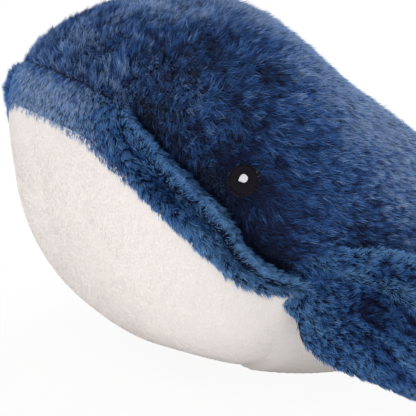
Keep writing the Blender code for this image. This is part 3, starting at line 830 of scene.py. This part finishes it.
def clear_of_eye(roots, flows, fields, radius):
    """Shortens strands that would lie across the eye, darkens those round it as painted shade round the sunken eye, and
    says which to keep.
    """
    centre, _ = eye_place()
    apart = roots - centre
    apart[:, 0] *= 0.6
    far = np.linalg.norm(apart, axis=1)
    towards = -(dot(unit(apart), unit(flows)))[:, 0]
    room = np.clip((far - radius) / EYE_CLEARING, 0.18, 1.0)
    low_front = dot(unit(apart), unit(np.array([0.0, -0.75, -0.65])))[:, 0]
    room = np.maximum(room, 0.85 * eased(low_front, 0.3, 0.7))
    across = ramp(towards, -0.4, 0.6) * (far < radius + EYE_COMBED)
    fields["long"] = fields["long"] * (1 - across * (1 - room))
    # Painted shade round the eye
    fields["shade"] = fields["shade"] - 0.3 * (1 - eased(far, radius, radius + EYE_SHADE))
    return far > radius * 0.97


def stitched_disc(name, centre, normal, radius, dome, threads, look):
    """A satin-stitched disc: a dome ridged by its threads, with a whipped rim."""
    reach = np.linspace(0, 1, DISC_RINGS)[:, None]
    turn = np.linspace(0, 2 * math.pi, DISC_SPOKES + 1)[None, :]
    uneven = 1 + 0.025 * np.cos(4 * turn + 0.4) + 0.02 * np.cos(3 * turn + 1.0) + 0.012 * np.cos(11 * turn)
    x, y = uneven * reach * np.cos(turn), uneven * reach * np.sin(turn)
    ridge = 0.5 + 0.5 * np.cos(2 * math.pi * threads * (0.8 * x + 0.6 * y) / 2)
    rim = near(reach, 0.05, 0.93) * (0.75 + 0.25 * np.cos(turn * WHIP_STITCHES))
    height = dome * (0.35 + 0.65 * np.sqrt(np.maximum(1 - reach**4, 0))) + dome * 0.16 * ridge + dome * 0.3 * rim
    height = np.where(reach > 0.985, -dome, height)
    flat = unit(np.cross(normal, (0.0, 0.0, 1.0)))
    up = np.cross(flat, normal)
    points = centre + radius * (x[..., None] * flat + y[..., None] * up) + height[..., None] * normal
    return grid_object(name, points, look, turned=True)


class WHALE_OT_camera(bpy.types.Operator):
    """Places the camera at the photograph's angle"""

    bl_idname = "whale.camera"
    bl_label = "Place Camera"

    def execute(self, context):
        stage = context.scene.whale_stage
        data = bpy.data.cameras.new("Camera")
        data.lens = stage.lens
        data.clip_start = 0.01
        camera = bpy.data.objects.new("Camera", data)
        context.scene.collection.objects.link(camera)
        level = math.cos(stage.elevation)
        back = np.array([
            math.sin(stage.azimuth) * level,
            -math.cos(stage.azimuth) * level,
            math.sin(stage.elevation),
        ])
        aim = np.array(CAMERA_AIM) - np.array([0, MIDDLE, 0])
        camera.location = aim + back * stage.distance
        camera.rotation_euler = (math.pi / 2 - stage.elevation, 0, stage.azimuth)
        context.scene.camera = camera
        return {"FINISHED"}


def back_nap(roots, at, fin_edge, rng):
    """The nap's direction over the back. It adds to at how the strands stand, and how light they are."""
    row, angle = at["row"], at["angle"]
    head, woolly = ramp(1.12, row, 0.3), 1 - eased(row, 0.55, 0.95)
    edge = back_lower_edge(row) - angle
    fringe = near(edge, 0.12) * eased(row, 0.97, 1.08)
    by_roll = near(edge, 0.17) * ramp(row, 0.38, 0.1) * ramp(1.05, row, 0.1)
    by_fin = near(distance_to(roots, fin_edge), 0.017)
    curls = 1 - 2 * np.abs(drift(roots + 0.003 * drift(roots, 0.007, 9)[:, None], 0.0075, 8))
    at["tousle"] = 0.25 + 0.95 * head + 0.45 * woolly
    at["cell"] = NARROW_TUFT + (ROUND_TUFT - NARROW_TUFT) * head[:, None] + 0.35 * woolly[:, None]
    at["tone"] = 1.9 - 0.9 * head + 0.25 * woolly
    at["gather"] = 1 + 0.35 * woolly
    at["lift"] = (0.6 + 0.35 * head + 0.35 * fringe) * (1 + 0.25 * head * curls)
    length = np.clip(1.0 - 0.25 * (row - 1.3), 0.75, 1) * (1 - 0.22 * woolly)
    at["long"] = length * (1 - 0.5 * by_roll) * (1 - 0.35 * by_fin)
    at["broad"] = np.where(row > 1.25, 1.35, 1.0)

    # Painted light and shade: shade beside the upper lip's roll, round the fin's upper edge and over the flank and
    # cheek, highlights along the top of the head and over the shoulder, and bright curl ridges with shaded hollows
    # between
    flank = eased(angle, 0.2, 0.6) * eased(row, 0.15, 0.5) * (1 - eased(row, 1.0, 1.3))
    top = (1 - eased(angle, 0.15, 0.5 + 0.5 * eased(row, 0.8, 1.05))) * (0.28 - 0.14 * woolly)
    shoulder = 0.4 * eased(row, 0.95, 1.06) * (1 - 0.6 * eased(row, 1.12, 1.25)) * (1 - eased(angle, 0.85, 1.3))
    ridge = 0.06 * eased(row, 0.9, 1.0) + top + shoulder
    combed = streaks(from_nose(roots), 0.0008, 0.007, 7)
    shade = 0.5 + 0.12 * drift(roots, 0.02, 5) + 0.1 * drift(roots, 0.005, 6) + 0.15 * rng.normal(size=len(roots))
    shade = shade + 0.5 * (1 - 0.65 * head - 0.35 * woolly) * combed
    shade = shade + (0.4 + 0.15 * woolly) * head * drift(roots, 0.0013, 11) + 0.2 * head * curls
    at["shade"] = shade - 0.42 * by_roll - 0.46 * flank + 0.2 * (1 - head) + ridge + 0.03 * woolly - 0.5 * by_fin
    return from_nose(roots) + np.array([0.0, 0.06, -0.01]) + fringe[:, None] * np.array([0.12, 0.0, -0.55])


class WHALE_OT_back(bpy.types.Operator):
    """Makes the fur of the head, back and flanks on its cloth"""

    bl_idname = "whale.back"
    bl_label = "Make Back"

    def execute(self, context):
        scene = context.scene
        fur = scene.whale_fur
        cloth = back_cloth()
        both = np.concatenate([mirrored(cloth.points[:, ::-1]), cloth.points[:, 1:]], 1)
        sheet = grid_object("back_cloth", both, backing_look(scene))
        sew_on(sheet, "body", ("left_back_panel", "right_back_panel", "body_filling"))
        rows = cloth.fields["row"]
        fin_edge = fin_cloth(0.0).points[FIN_UPPER_EDGE]
        for side, sign in SIDES:
            for number, (zone, low, high, crowd) in enumerate(BACK_ZONES):
                seed = BACK_SEED + 10 * number + (sign < 0)
                rng = np.random.default_rng(seed)
                roots, normals, at = cloth.sow(fur.density, rng, crowd, (rows >= low) & (rows < high))
                flows = back_nap(roots, at, fin_edge, rng)
                kept = clear_of_eye(roots, flows, at, scene.whale_eye.radius)
                at, *strands = picked(kept, at, roots, normals, flows)
                look = fur_look(scene)
                made = strand_object(f"{side}_{zone}_fur", *on_side(sign, *strands), fur, at, seed, look)
                sew_on(made, "body")
        return {"FINISHED"}


def belly_cloth():
    """The left half of the cream cloth, hollow in the throat, tucked under the fur and settled on the floor."""
    rows = body_rows(80, 80)
    first = seam_angle(rows, CREAM_EDGE_SHARES) - 0.03

    def depth(row, angle, share):
        throat = THROAT_RISE * (1 - eased(row, 0.1, 0.62)) * np.sin(math.pi * share)
        hollow = THROAT_HOLLOW * near(row, 0.4, 0.4) * eased(share, 0.43, 0.85)
        tucked = CREAM_TUCK * (1 - eased(share, 0.01, 0.08)) * eased(row, 0.97, 1.08)
        return VELOUR_CLOTH_DEPTH - throat + hollow + tucked

    cloth = body_cloth(rows, first, np.full_like(rows, math.pi), 80, depth)
    cloth.points[..., 2] = settled(rows[:, None], cloth.points[..., 2])
    return cloth


class WHALE_OT_belly(bpy.types.Operator):
    """Makes the velour throat and belly"""

    bl_idname = "whale.belly"
    bl_label = "Make Belly"

    def execute(self, context):
        scene = context.scene
        nap, cream = scene.whale_velour, tuple(scene.whale_colours.cream)
        cloth = belly_cloth()
        both = np.concatenate([cloth.points, mirrored(cloth.points[:, ::-1])[:, 1:]], 1)
        backing = cloth_look("Cream velour cloth", toned(cream, 0.93), toned(cream, 0.9), 0.0016, 0.00015)
        sew_on(grid_object("belly_cloth", both, backing), "body", ("belly_panel",))
        # The pile's tones at the root, darkest, tip and lightest: the darkest is painted shade by the lip, the lightest
        # painted light from the floor on the lower belly
        tones = [toned(cream, share) for share in (0.98, 0.84, 1.03, 1.17)]
        pile = strand_look("Cream velour", *tones, 0.9, 0.3)
        for side, sign in SIDES:
            seed = BELLY_SEED + (sign < 0)
            rng = np.random.default_rng(seed)
            roots, normals, at = cloth.sow(nap.density, rng)
            at, roots, normals = picked(roots[:, 2] > FLAT_ON_FLOOR, at, roots, normals)
            row, share = at["row"], at["share"]
            flows = from_nose(roots) + np.array([0.0, 0.05, -0.05])
            # Painted shade near the lip, and painted light from the floor low on the belly
            by_lip = (1 - eased(share, 0.06, 0.34)) * eased(row, 0.02, 0.3) * (1 - 0.6 * eased(row, 0.75, 0.95))
            shade = 0.55 - 0.65 * by_lip + 0.45 * eased(share, 0.3, 0.48)
            at = {"shade": shade + 0.05 * drift(roots, 0.012, 15) + 0.03 * rng.normal(size=len(roots))}
            strands = on_side(sign, roots, normals, flows)
            sew_on(strand_object(f"{side}_belly_pile", *strands, nap, at, seed, pile), "body")
        return {"FINISHED"}


def lip_cloth(first_row, upper_shares, lower_shares, bulge, steep, full):
    """A padded lip's cloth, between two seams. full gives the lip's fullness along its length."""
    is_band = first_row == 0.0
    rows = np.linspace(first_row, LIP_END, 130)
    above, below = seam_angle(rows, upper_shares), seam_angle(rows, lower_shares)
    if is_band:
        wide = eased(ramp(ROLL_SHOWN + 0.08, rows, 0.08), 0, 1)
        above = above + wide * (seam_angle(rows, ROLL_TOP_SHARES) - above)

    def depth(row, angle, share):
        along = (row - first_row) / (LIP_END - first_row)
        crease = ramp(row, ROLL_SHOWN, 0.05) * ramp(LIP_END, row, 0.2)
        snout = SNOUT_FUR_SINK * (1 - eased(row, 0.25, 0.45)) * (1 - eased(share, 0.55, 0.95))
        if is_band:
            crease = crease * (1 - eased(share, 0.25, 0.75))
        sunk = LIP_CREASE_DEPTH * crease
        return LIP_CLOTH_DEPTH + snout + sunk - (bulge + sunk) * full(along) * lip_profile(share, steep)

    return body_cloth(rows, above, below, 40, depth)


def band_fullness(along):
    """Nearly flat round the snout, full along the cheek."""
    return (0.2 + 0.8 * eased(along, 0.35, 0.7)) * np.maximum(np.cos(math.pi / 2 * along), 0.0) ** 0.5


def roll_fullness(along):
    """Blunt and full where the roll starts, then thinner towards the corner of the mouth."""
    start = ramp(along, 0.0, 0.09)
    full = np.sqrt(1 - (1 - start) ** 2) * (0.7 + 0.3 * eased(along, 0.05, 0.3))
    return full * np.maximum(np.cos(math.pi / 2 * along), 0.0) ** 0.45


def lip_nap(roots, at, low, rng):
    """The nap's direction over the lower or upper lip. It adds to at how the strands stand, and how light they are."""
    row, share = at["row"], at["share"]
    snout, early = (1 - eased(row, 0.05, 0.45)) * low, 1 - eased(row, 0.42, 0.6)
    crease = near(share, 0.22, 0.0 if low else 1.0) * ramp(row, ROLL_SHOWN, 0.04)
    at["lift"] = (1.0 - 0.65 * snout) * (1 - 0.3 * early)
    at["long"] = (1.0 - 0.1 * snout) * (1 - 0.25 * early) * (1 - 0.4 * crease)
    at["gather"] = 1.0 - 0.6 * snout
    at["tousle"] = 1.0 - 0.5 * snout

    # Painted light and shade: the crease between the lips darkened, dark gaps along the snout's upper edge, and the
    # snout and the roll's front lighter
    front = (1 - eased(row, 0.45, 0.75)) * (not low)
    beside_snout = low * near(row, 0.1, 0.36)
    upper_edge = 0.45 * near(share, 0.16) * snout * (0.6 + 0.6 * drift(roots, 0.006, 27))
    shade = 0.68 + 0.1 * drift(roots, 0.012, 25) + 0.2 * drift(roots, 0.0013, 26)
    shade = shade + 0.15 * rng.normal(size=len(roots)) - 0.85 * crease + 0.27 * snout + 0.06 * front - upper_edge
    at["shade"] = shade + 0.48 * eased(row, 0.55, 0.75) - 0.14 * beside_snout

    aside = eased(row, 0.0, 0.4)[:, None]
    down = unit(np.array([0.25, 0.1, 0.0]) * aside + np.array([0.0, 0.0, -1.0]))
    back = unit(from_nose(roots))
    return down + 0.45 * aside * back if low else back - 1.1 * down * eased(share, -0.4, 0.8)[:, None]


class WHALE_OT_lips(bpy.types.Operator):
    """Makes the padded lips: the band round the snout and the roll on each cheek"""

    bl_idname = "whale.lips"
    bl_label = "Make Lips"

    def execute(self, context):
        scene = context.scene
        fur = scene.whale_lip_fur
        band = lip_cloth(0.0, BAND_TOP_SHARES, CREAM_EDGE_SHARES, BAND_BULGE, LIP_ROUND_POWER, band_fullness)
        roll = lip_cloth(ROLL_SHOWN, ROLL_TOP_SHARES, BAND_TOP_SHARES, ROLL_BULGE, ROLL_ROUND_POWER, roll_fullness)
        both = np.concatenate([mirrored(band.points[::-1]), band.points[1:]], 0)
        sheet = grid_object("lower_lip_cloth", both, backing_look(scene))
        sew_on(sheet, "body", ("lower_lip_band",))
        rows = band.fields["row"]
        pieces = (
            ("snout_fur", band, rows < SNOUT_END + SNOUT_OVERLAP),
            ("lower_lip_fur", band, rows >= SNOUT_END - SNOUT_OVERLAP),
            ("upper_lip_fur", roll, None),
        )
        for side, sign in SIDES:
            points, = on_side(sign, roll.points)
            sheet = grid_object(f"{side}_upper_lip_cloth", points, backing_look(scene), turned=sign < 0)
            sew_on(sheet, "body", (f"{side}_upper_lip_roll",))
            for number, (piece, cloth, keep) in enumerate(pieces):
                seed = LIP_SEED + 10 * number + (sign < 0)
                rng = np.random.default_rng(seed)
                roots, normals, at = cloth.sow(fur.density, rng, keep=keep)
                low, snout = cloth is band, piece == "snout_fur"
                if low:
                    before = at["row"] + 0.06 * np.clip(rng.normal(size=len(roots)), -2.5, 2.5) < SNOUT_END
                    at, roots, normals = picked(before == snout, at, roots, normals)
                strands = on_side(sign, roots, normals, lip_nap(roots, at, low, rng))
                look = fur_look(scene, sleek=not snout)
                sew_on(strand_object(f"{side}_{piece}", *strands, fur, at, seed, look), "body")
        return {"FINISHED"}


def add_rim(name, middle, way, radius, scene):
    """Loose ends of black thread that fray over the fur round an eye."""
    rng = np.random.default_rng(RIM_SEED)
    turn = rng.random(RIM_THREADS) * 2 * math.pi
    flat = unit(np.cross(way, (0.0, 0.0, 1.0)))
    up = np.cross(flat, way)
    out = np.cos(turn)[:, None] * flat + np.sin(turn)[:, None] * up
    roots = middle + out * (radius * (0.9 + 0.07 * rng.random(RIM_THREADS)))[:, None] + way * 0.0004
    normals = np.broadcast_to(way, roots.shape)
    fields = {"shade": 0.3 + 0.3 * rng.normal(size=RIM_THREADS)}
    dark, frayed = tuple(scene.whale_colours.thread), tuple(scene.whale_colours.frayed)
    look = strand_look("Frayed thread", dark, dark, dark, frayed, 0.8, 0.1)
    made = strand_object(name, roots, normals, out, scene.whale_rim_thread, fields, RIM_SEED, look)
    sew_on(made, "body")


class WHALE_OT_eyes(bpy.types.Operator):
    """Stitches the eyes and their glints"""

    bl_idname = "whale.eyes"
    bl_label = "Stitch Eyes"

    def execute(self, context):
        scene = context.scene
        eye, colours = scene.whale_eye, scene.whale_colours
        black = thread_look("Black thread", tuple(colours.thread), 0.9)
        white = thread_look("White thread", tuple(colours.glint), 0.5)
        centre, normal = eye_place()
        for side, sign in SIDES:
            middle, way = on_side(sign, centre + normal * eye.seat, normal)
            patch = stitched_disc(f"{side}_eye", middle, way, eye.radius, EYE_DOME, EYE_THREADS, black)
            add_rim(f"{side}_eye_rim", middle, way, eye.radius, scene)
            sew_on(patch, "body", (f"{side}_eye_patch",))
            spot = middle + way * EYE_DOME + np.array([0, 0, GLINT_RISE])
            name = f"{side}_eye_glint_stitch"
            glint = stitched_disc(name, spot, way, eye.glint, GLINT_DOME, GLINT_THREADS, white)
            sew_on(glint, "body", (f"{side}_eye_glint",))
            front = unit(np.cross(way, (0.0, 0.0, 1.0))) * sign
            knot = spot + (front * 0.9 - np.array([0, 0, 0.4])) * eye.glint
            name, radius = f"{side}_eye_glint_end", eye.glint * GLINT_END_SIZE
            end = stitched_disc(name, knot, way, radius, GLINT_END_DOME, GLINT_END_THREADS, white)
            sew_on(end, "body")
        return {"FINISHED"}


def fin_frame():
    """The left fin's root point, span, chord and face directions."""
    row = np.array(FIN_ROW)
    _, underside, top, widest = body_section(row)
    share = (FIN_ROOT_HEIGHT + FLOOR_CUT) / (HEAD_TOP + FLOOR_CUT)
    height = underside + share * (top - underside)
    angle = np.arccos(-(((widest - height) / (widest - underside)) ** (BELLY_POWER / 2)))
    root = form_point(row, angle, 0.0)
    level = math.cos(FIN_DROOP)
    span = np.array([math.cos(FIN_SWEEP) * level, math.sin(FIN_SWEEP) * level, -math.sin(FIN_DROOP)])
    chord = np.array([0.0, math.cos(FIN_ROOT_TILT), math.sin(FIN_ROOT_TILT)])
    return root, span, chord, unit(np.cross(span, chord))


def fin_cloth(inset):
    """The left fin's closed cloth: rows from root to tip, columns once round."""
    root, span, chord, face = fin_frame()
    share = np.concatenate([np.linspace(-0.16, 0.85, 66), np.linspace(0.85, 1.0, 24)[1:]])[:, None]
    turn = np.linspace(0, 2 * math.pi, 97)[None, :]
    tip = 1 - inset / FIN_LENGTH
    along = np.minimum(share, 1.0) * tip
    place = np.clip(along / tip, 0, 1)
    half = FIN_HALF_CHORD * steady_curve(FIN_PLACE_SHARES, FIN_WIDTH_SHARES, place)
    round_off = np.sqrt(np.clip(1 - ramp(place, 0.9, 0.1) ** 2.5, 0, 1))
    wave = np.maximum(np.sin(math.pi * place), 0.0)
    thick = FIN_HALF_THICKNESS * wave ** np.where(place < 0.5, 0.8, 0.6)
    half = np.maximum((half - inset) * round_off, THIN_EDGE)
    thick = np.maximum((np.maximum(thick, 0.004 * (place < 0.5)) - inset * 0.8) * round_off, THIN_EDGE)
    bend = FIN_CURL * np.maximum(along, 0) ** 2
    centre = root + span * (along * FIN_LENGTH)[..., None] + np.array([0, 0, 1.0]) * bend[..., None]
    swell = FIN_ROOT_SWELL * eased(along, -0.16, -0.02) * (1 - eased(place, 0.15, 0.5)) * np.maximum(np.cos(turn), 0)
    points = centre - chord * (half * np.cos(turn) + swell)[..., None] + face * (thick * np.sin(turn))[..., None]
    return Cloth(points, place=place, turn=turn)


def fin_nap(roots, at, rng):
    """The nap's direction over the left fin. It adds to at how the strands stand, and how light they are."""
    root, span, chord, _ = fin_frame()
    place, turn = at["place"], at["turn"]
    apart = roots - (root - span * NAP_START)
    rim = np.abs(np.cos(turn)) ** 4
    first = 1.85 + 0.12 * place
    ridge = near(turn, 0.15, first) + near(turn, 0.2, 2.65)
    at["lift"] = 0.62 + 0.15 * (1 - place) + 0.35 * ridge - 0.2 * rim
    at["long"] = 0.7 + 0.15 * ridge - 0.25 * rim
    at["tousle"], at["broad"] = 0.8, 0.9

    # Painted light and shade: the lower leading edge lighter against its own shadow, highlights along the ridges, and
    # painted shade in the hollow and the valleys beside them
    under, trailing = np.clip(np.cos(turn), 0, 1) ** 2, np.clip(-np.cos(turn), 0, 1) ** 3
    hollow = (1 - ridge) * (1 - trailing) * near(place, 0.25, 0.3)
    low_valley = near(turn - first + 0.45, 0.22) * (1 - eased(place, 0.5, 0.8))
    valley = 0.5 * near(turn, 0.12, 2.25) + low_valley
    shade = 0.68 + 0.36 * under + 0.4 * eased(place, 0.5, 0.9)
    shade = shade + 0.13 * drift(roots, 0.014, 35) + 0.12 * drift(roots, 0.005, 36)
    shade = shade + 0.15 * rng.normal(size=len(roots)) + 0.5 * streaks(apart, 0.0010, 0.006, 37)
    at["shade"] = shade + 0.35 * ridge - 0.3 * hollow - 0.3 * valley

    aside = np.clip((turn - first) / 0.3, -1, 1)
    return unit(apart) * (1 - 0.6 * rim)[:, None] + 0.8 * span + chord * (0.9 * ridge * aside)[:, None]


class WHALE_OT_fins(bpy.types.Operator):
    """Makes both side fins"""

    bl_idname = "whale.fins"
    bl_label = "Make Fins"

    def execute(self, context):
        scene = context.scene
        fur = scene.whale_fur
        cloth = fin_cloth(LIMB_CLOTH_DEPTH)
        _, span, chord, _ = fin_frame()
        # The cloth's normals point out of the fin, whichever way its grid runs
        if dot(cloth.normals[30, 24], np.cross(span, chord))[0] < 0:
            cloth.normals = -cloth.normals
        for side, sign in SIDES:
            body = f"{side}_fin"
            points, = on_side(sign, cloth.points)
            sheet = grid_object(f"{side}_fin_cloth", points, backing_look(scene), turned=sign < 0)
            solids = (f"{side}_fin_upper_panel", f"{side}_fin_under_panel", f"{side}_fin_filling")
            sew_on(sheet, body, solids)
            seed = FIN_SEED + (sign < 0)
            rng = np.random.default_rng(seed)
            roots, normals, at = cloth.sow(fur.density, rng, FIN_CROWD)
            strands = on_side(sign, roots, normals, fin_nap(roots, at, rng))
            look = fur_look(scene, sleek=True)
            sew_on(strand_object(f"{side}_fin_fur", *strands, fur, at, seed, look), body)
        return {"FINISHED"}


def fluke_cloth(inset):
    """The flukes' closed cloth: rows from the right tip to the left tip, columns once round."""
    share = np.sin(np.linspace(-math.pi / 2, math.pi / 2, 120))[:, None]
    turn = np.linspace(0, 2 * math.pi, 81)[None, :]
    across = share * (FLUKE_HALF_SPAN - inset)
    place = np.abs(across) / FLUKE_HALF_SPAN
    lobe, notch = FLUKE_LOBE_DEPTH, FLUKE_NOTCH_DEPTH
    trails = (notch, (notch + lobe) / 2, lobe, lobe, FLUKE_SWEEP_DEPTH + FLUKE_TIP_CHORD)
    lead = FLUKE_SWEEP_DEPTH * steady_curve(FLUKE_PLACE_SHARES, FLUKE_SWEEP_SHARES, place, 0.0)
    trail = steady_curve(FLUKE_PLACE_SHARES, trails, place)
    lead = lead + inset * np.clip((place - 0.2) / 0.1, -1.5, 1)
    trail = trail - inset
    round_off = np.sqrt(np.clip(1 - ramp(np.abs(share), 0.88, 0.12) ** 2.5, 0, 1))
    half = np.maximum((trail - lead) / 2 * round_off, THIN_EDGE)
    thick = FLUKE_HALF_THICKNESS * np.sqrt(np.maximum(1 - share**2, 0))
    thick = np.maximum((thick - inset * 0.7) * round_off, THIN_EDGE)
    back = TAIL_SEAM_BACK + (lead + trail) / 2 - half * np.cos(turn) - MIDDLE
    height = TAIL_SEAM_HEIGHT + thick * np.sin(turn)
    points = np.stack(np.broadcast_arrays(across, back, height), -1)
    return Cloth(points, place=place, turn=turn)


class WHALE_OT_flukes(bpy.types.Operator):
    """Makes the tail flukes"""

    bl_idname = "whale.flukes"
    bl_label = "Make Flukes"

    def execute(self, context):
        scene = context.scene
        fur = scene.whale_fur
        cloth = fluke_cloth(LIMB_CLOTH_DEPTH)
        # The cloth's normals point out of the flukes, whichever way its grid runs
        if cloth.normals[60, 20, 2] < 0:
            cloth.normals = -cloth.normals
        sheet = grid_object("tail_fluke_cloth", cloth.points, backing_look(scene))
        solids = ("tail_fluke_upper_panel", "tail_fluke_under_panel", "tail_fluke_filling")
        sew_on(sheet, "tail_fluke", solids)
        rng = np.random.default_rng(FLUKE_SEED)
        roots, normals, at = cloth.sow(fur.density, rng, FLUKE_CROWD)
        flows = roots - np.array([0.0, TAIL_SEAM_BACK - MIDDLE - NAP_START, TAIL_SEAM_HEIGHT])
        at["lift"], at["long"], at["tousle"], at["broad"] = 0.62, 0.85, 0.5, 1.4
        at["shade"] = 0.5 + 0.14 * drift(roots, 0.014, 45) + 0.1 * rng.normal(size=len(roots))
        made = strand_object("tail_fluke_fur", roots, normals, flows, fur, at, FLUKE_SEED, fur_look(scene))
        sew_on(made, "tail_fluke")
        return {"FINISHED"}


class WHALE_OT_stage(bpy.types.Operator):
    """Lays the pale floor and sets the lights"""

    bl_idname = "whale.stage"
    bl_label = "Set Stage"

    def execute(self, context):
        scene = context.scene
        stage = scene.whale_stage
        size = FLOOR_HALF_WIDTH
        corners = np.array([[[-size, -size, 0], [size, -size, 0]], [[-size, size, 0], [size, size, 0]]])
        grid_object("floor", corners, floor_look())
        add_lamp("Key", (-0.35, -0.95, 1.1), 1.0, 1.0, stage.key)
        add_lamp("Low", (0.75, -0.85, 0.05), 0.6, 0.1, stage.low)
        add_lamp("Rim", (-0.5, 1.1, 1.0), 1.0, 1.0, stage.rim)
        world = bpy.data.worlds.new("Studio")
        scene.world = world
        world.use_nodes = True
        tree = world.node_tree
        shown = tree.nodes["Background"]
        shown.inputs["Color"].default_value = WHITE
        shown.inputs["Strength"].default_value = 1.0
        even = add_node(tree, "ShaderNodeBackground", {"Color": WHITE, "Strength": stage.room})
        path = add_node(tree, "ShaderNodeLightPath")
        sockets = {"Fac": path.outputs["Is Camera Ray"], 1: even.outputs["Background"], 2: shown.outputs["Background"]}
        mix = add_node(tree, "ShaderNodeMixShader", sockets)
        tree.links.new(mix.outputs["Shader"], tree.nodes["World Output"].inputs["Surface"])
        scene.view_settings.view_transform = "Standard"
        return {"FINISHED"}


def floor_look():
    """A pale floor that the camera sees as near white, with the whale's shadow on it."""
    look, shader = new_look("Pale floor", (0.9, 0.9, 0.9), 0.9)
    tree = look.node_tree
    glow = add_node(tree, "ShaderNodeEmission", {"Color": WHITE, "Strength": 1.0})
    path = add_node(tree, "ShaderNodeLightPath")
    share = add_node(tree, "ShaderNodeMath", {0: path.outputs["Is Camera Ray"], 1: FLOOR_GLOW}, operation="MULTIPLY")
    sockets = {"Fac": share.outputs["Value"], 1: shader.outputs["BSDF"], 2: glow.outputs["Emission"]}
    mix = add_node(tree, "ShaderNodeMixShader", sockets)
    tree.links.new(mix.outputs["Shader"], tree.nodes["Material Output"].inputs["Surface"])
    return look


def add_lamp(name, place, wide, high, power):
    """A soft rectangular light that looks at the whale's head."""
    data = bpy.data.lights.new(name, "AREA")
    data.shape = "RECTANGLE"
    data.size, data.size_y = wide, high
    data.energy = power
    lamp = bpy.data.objects.new(name, data)
    place = np.array(place) + np.array([0, -MIDDLE, 0])
    lamp.location = place
    aim = np.array([0.0, -MIDDLE, LAMP_AIM_HEIGHT]) - place
    flat = math.hypot(aim[0], aim[1])
    lamp.rotation_euler = (math.atan2(flat, -aim[2]), 0, math.atan2(-aim[0], aim[1]))
    bpy.context.scene.collection.objects.link(lamp)


class WHALE_PT_panel(bpy.types.Panel):
    """The whale's settings and steps"""

    bl_idname = "WHALE_PT_panel"
    bl_label = "Plush Whale"
    bl_space_type = "VIEW_3D"
    bl_region_type = "UI"
    bl_category = "Whale"

    def draw(self, context):
        scene = context.scene
        for title, (name, kind) in SETTINGS.items():
            box = self.layout.box()
            box.label(text=title)
            for setting in kind.__annotations__:
                box.prop(getattr(scene, name), setting)
        for step in STEPS:
            self.layout.operator(step.bl_idname)


SETTINGS = {
    "Fur": ("whale_fur", FurRecipe),
    "Lip fur": ("whale_lip_fur", FurRecipe),
    "Velour": ("whale_velour", FurRecipe),
    "Rim thread": ("whale_rim_thread", FurRecipe),
    "Colours": ("whale_colours", WhaleColours),
    "Eyes": ("whale_eye", WhaleEye),
    "Stage": ("whale_stage", WhaleStage),
}

# Where the lips' fur, the velour and the thread round the eyes differ from the fur of the back
RECIPES = {
    "whale_lip_fur": dict(
        pile=0.0040, density=9.0, tuft=0.0028, gather=0.55, sway=0.45, tuft_tone_and_shade=0.3, root_lift=1.1, tip_lift=0.35
    ),
    "whale_velour": dict(
        pile=0.0011, width=0.00045, density=3.1, tuft=0.0030, gather=0.0, sway=0.2, stray=0.3, spin=0.1, soft=True,
        curl=0.05, tuft_tone_and_shade=0.0, root_lift=0.16, tip_lift=0.03,
    ),
    "whale_rim_thread": dict(
        pile=0.0016, width=0.00022, tuft=0.002, gather=0.0, sway=0.2, stray=0.3, root_lift=0.6, tip_lift=-0.1
    ),
}
GROUPS = (FurRecipe, WhaleColours, WhaleEye, WhaleStage)
STEPS = (
    WHALE_OT_camera,
    WHALE_OT_back,
    WHALE_OT_belly,
    WHALE_OT_lips,
    WHALE_OT_eyes,
    WHALE_OT_fins,
    WHALE_OT_flukes,
    WHALE_OT_stage,
)


def register():
    for kind in GROUPS + STEPS + (WHALE_PT_panel,):
        bpy.utils.register_class(kind)
    for name, kind in SETTINGS.values():
        setattr(bpy.types.Scene, name, bpy.props.PointerProperty(type=kind))


def unregister():
    for name, _ in SETTINGS.values():
        delattr(bpy.types.Scene, name)
    for kind in reversed(GROUPS + STEPS + (WHALE_PT_panel,)):
        bpy.utils.unregister_class(kind)


def set_recipes(scene):
    """Gives each recipe its own pile, where it differs from the default."""
    for name, values in RECIPES.items():
        for setting, value in values.items():
            setattr(getattr(scene, name), setting, value)


def main():
    register()
    scene = bpy.context.scene
    for old in [o for o in scene.objects if o.type in ("CAMERA", "LIGHT")]:
        bpy.data.objects.remove(old)
    set_recipes(scene)
    for step in STEPS:
        getattr(bpy.ops.whale, step.bl_idname.partition(".")[2])()


if __name__ == "__main__":
    main()
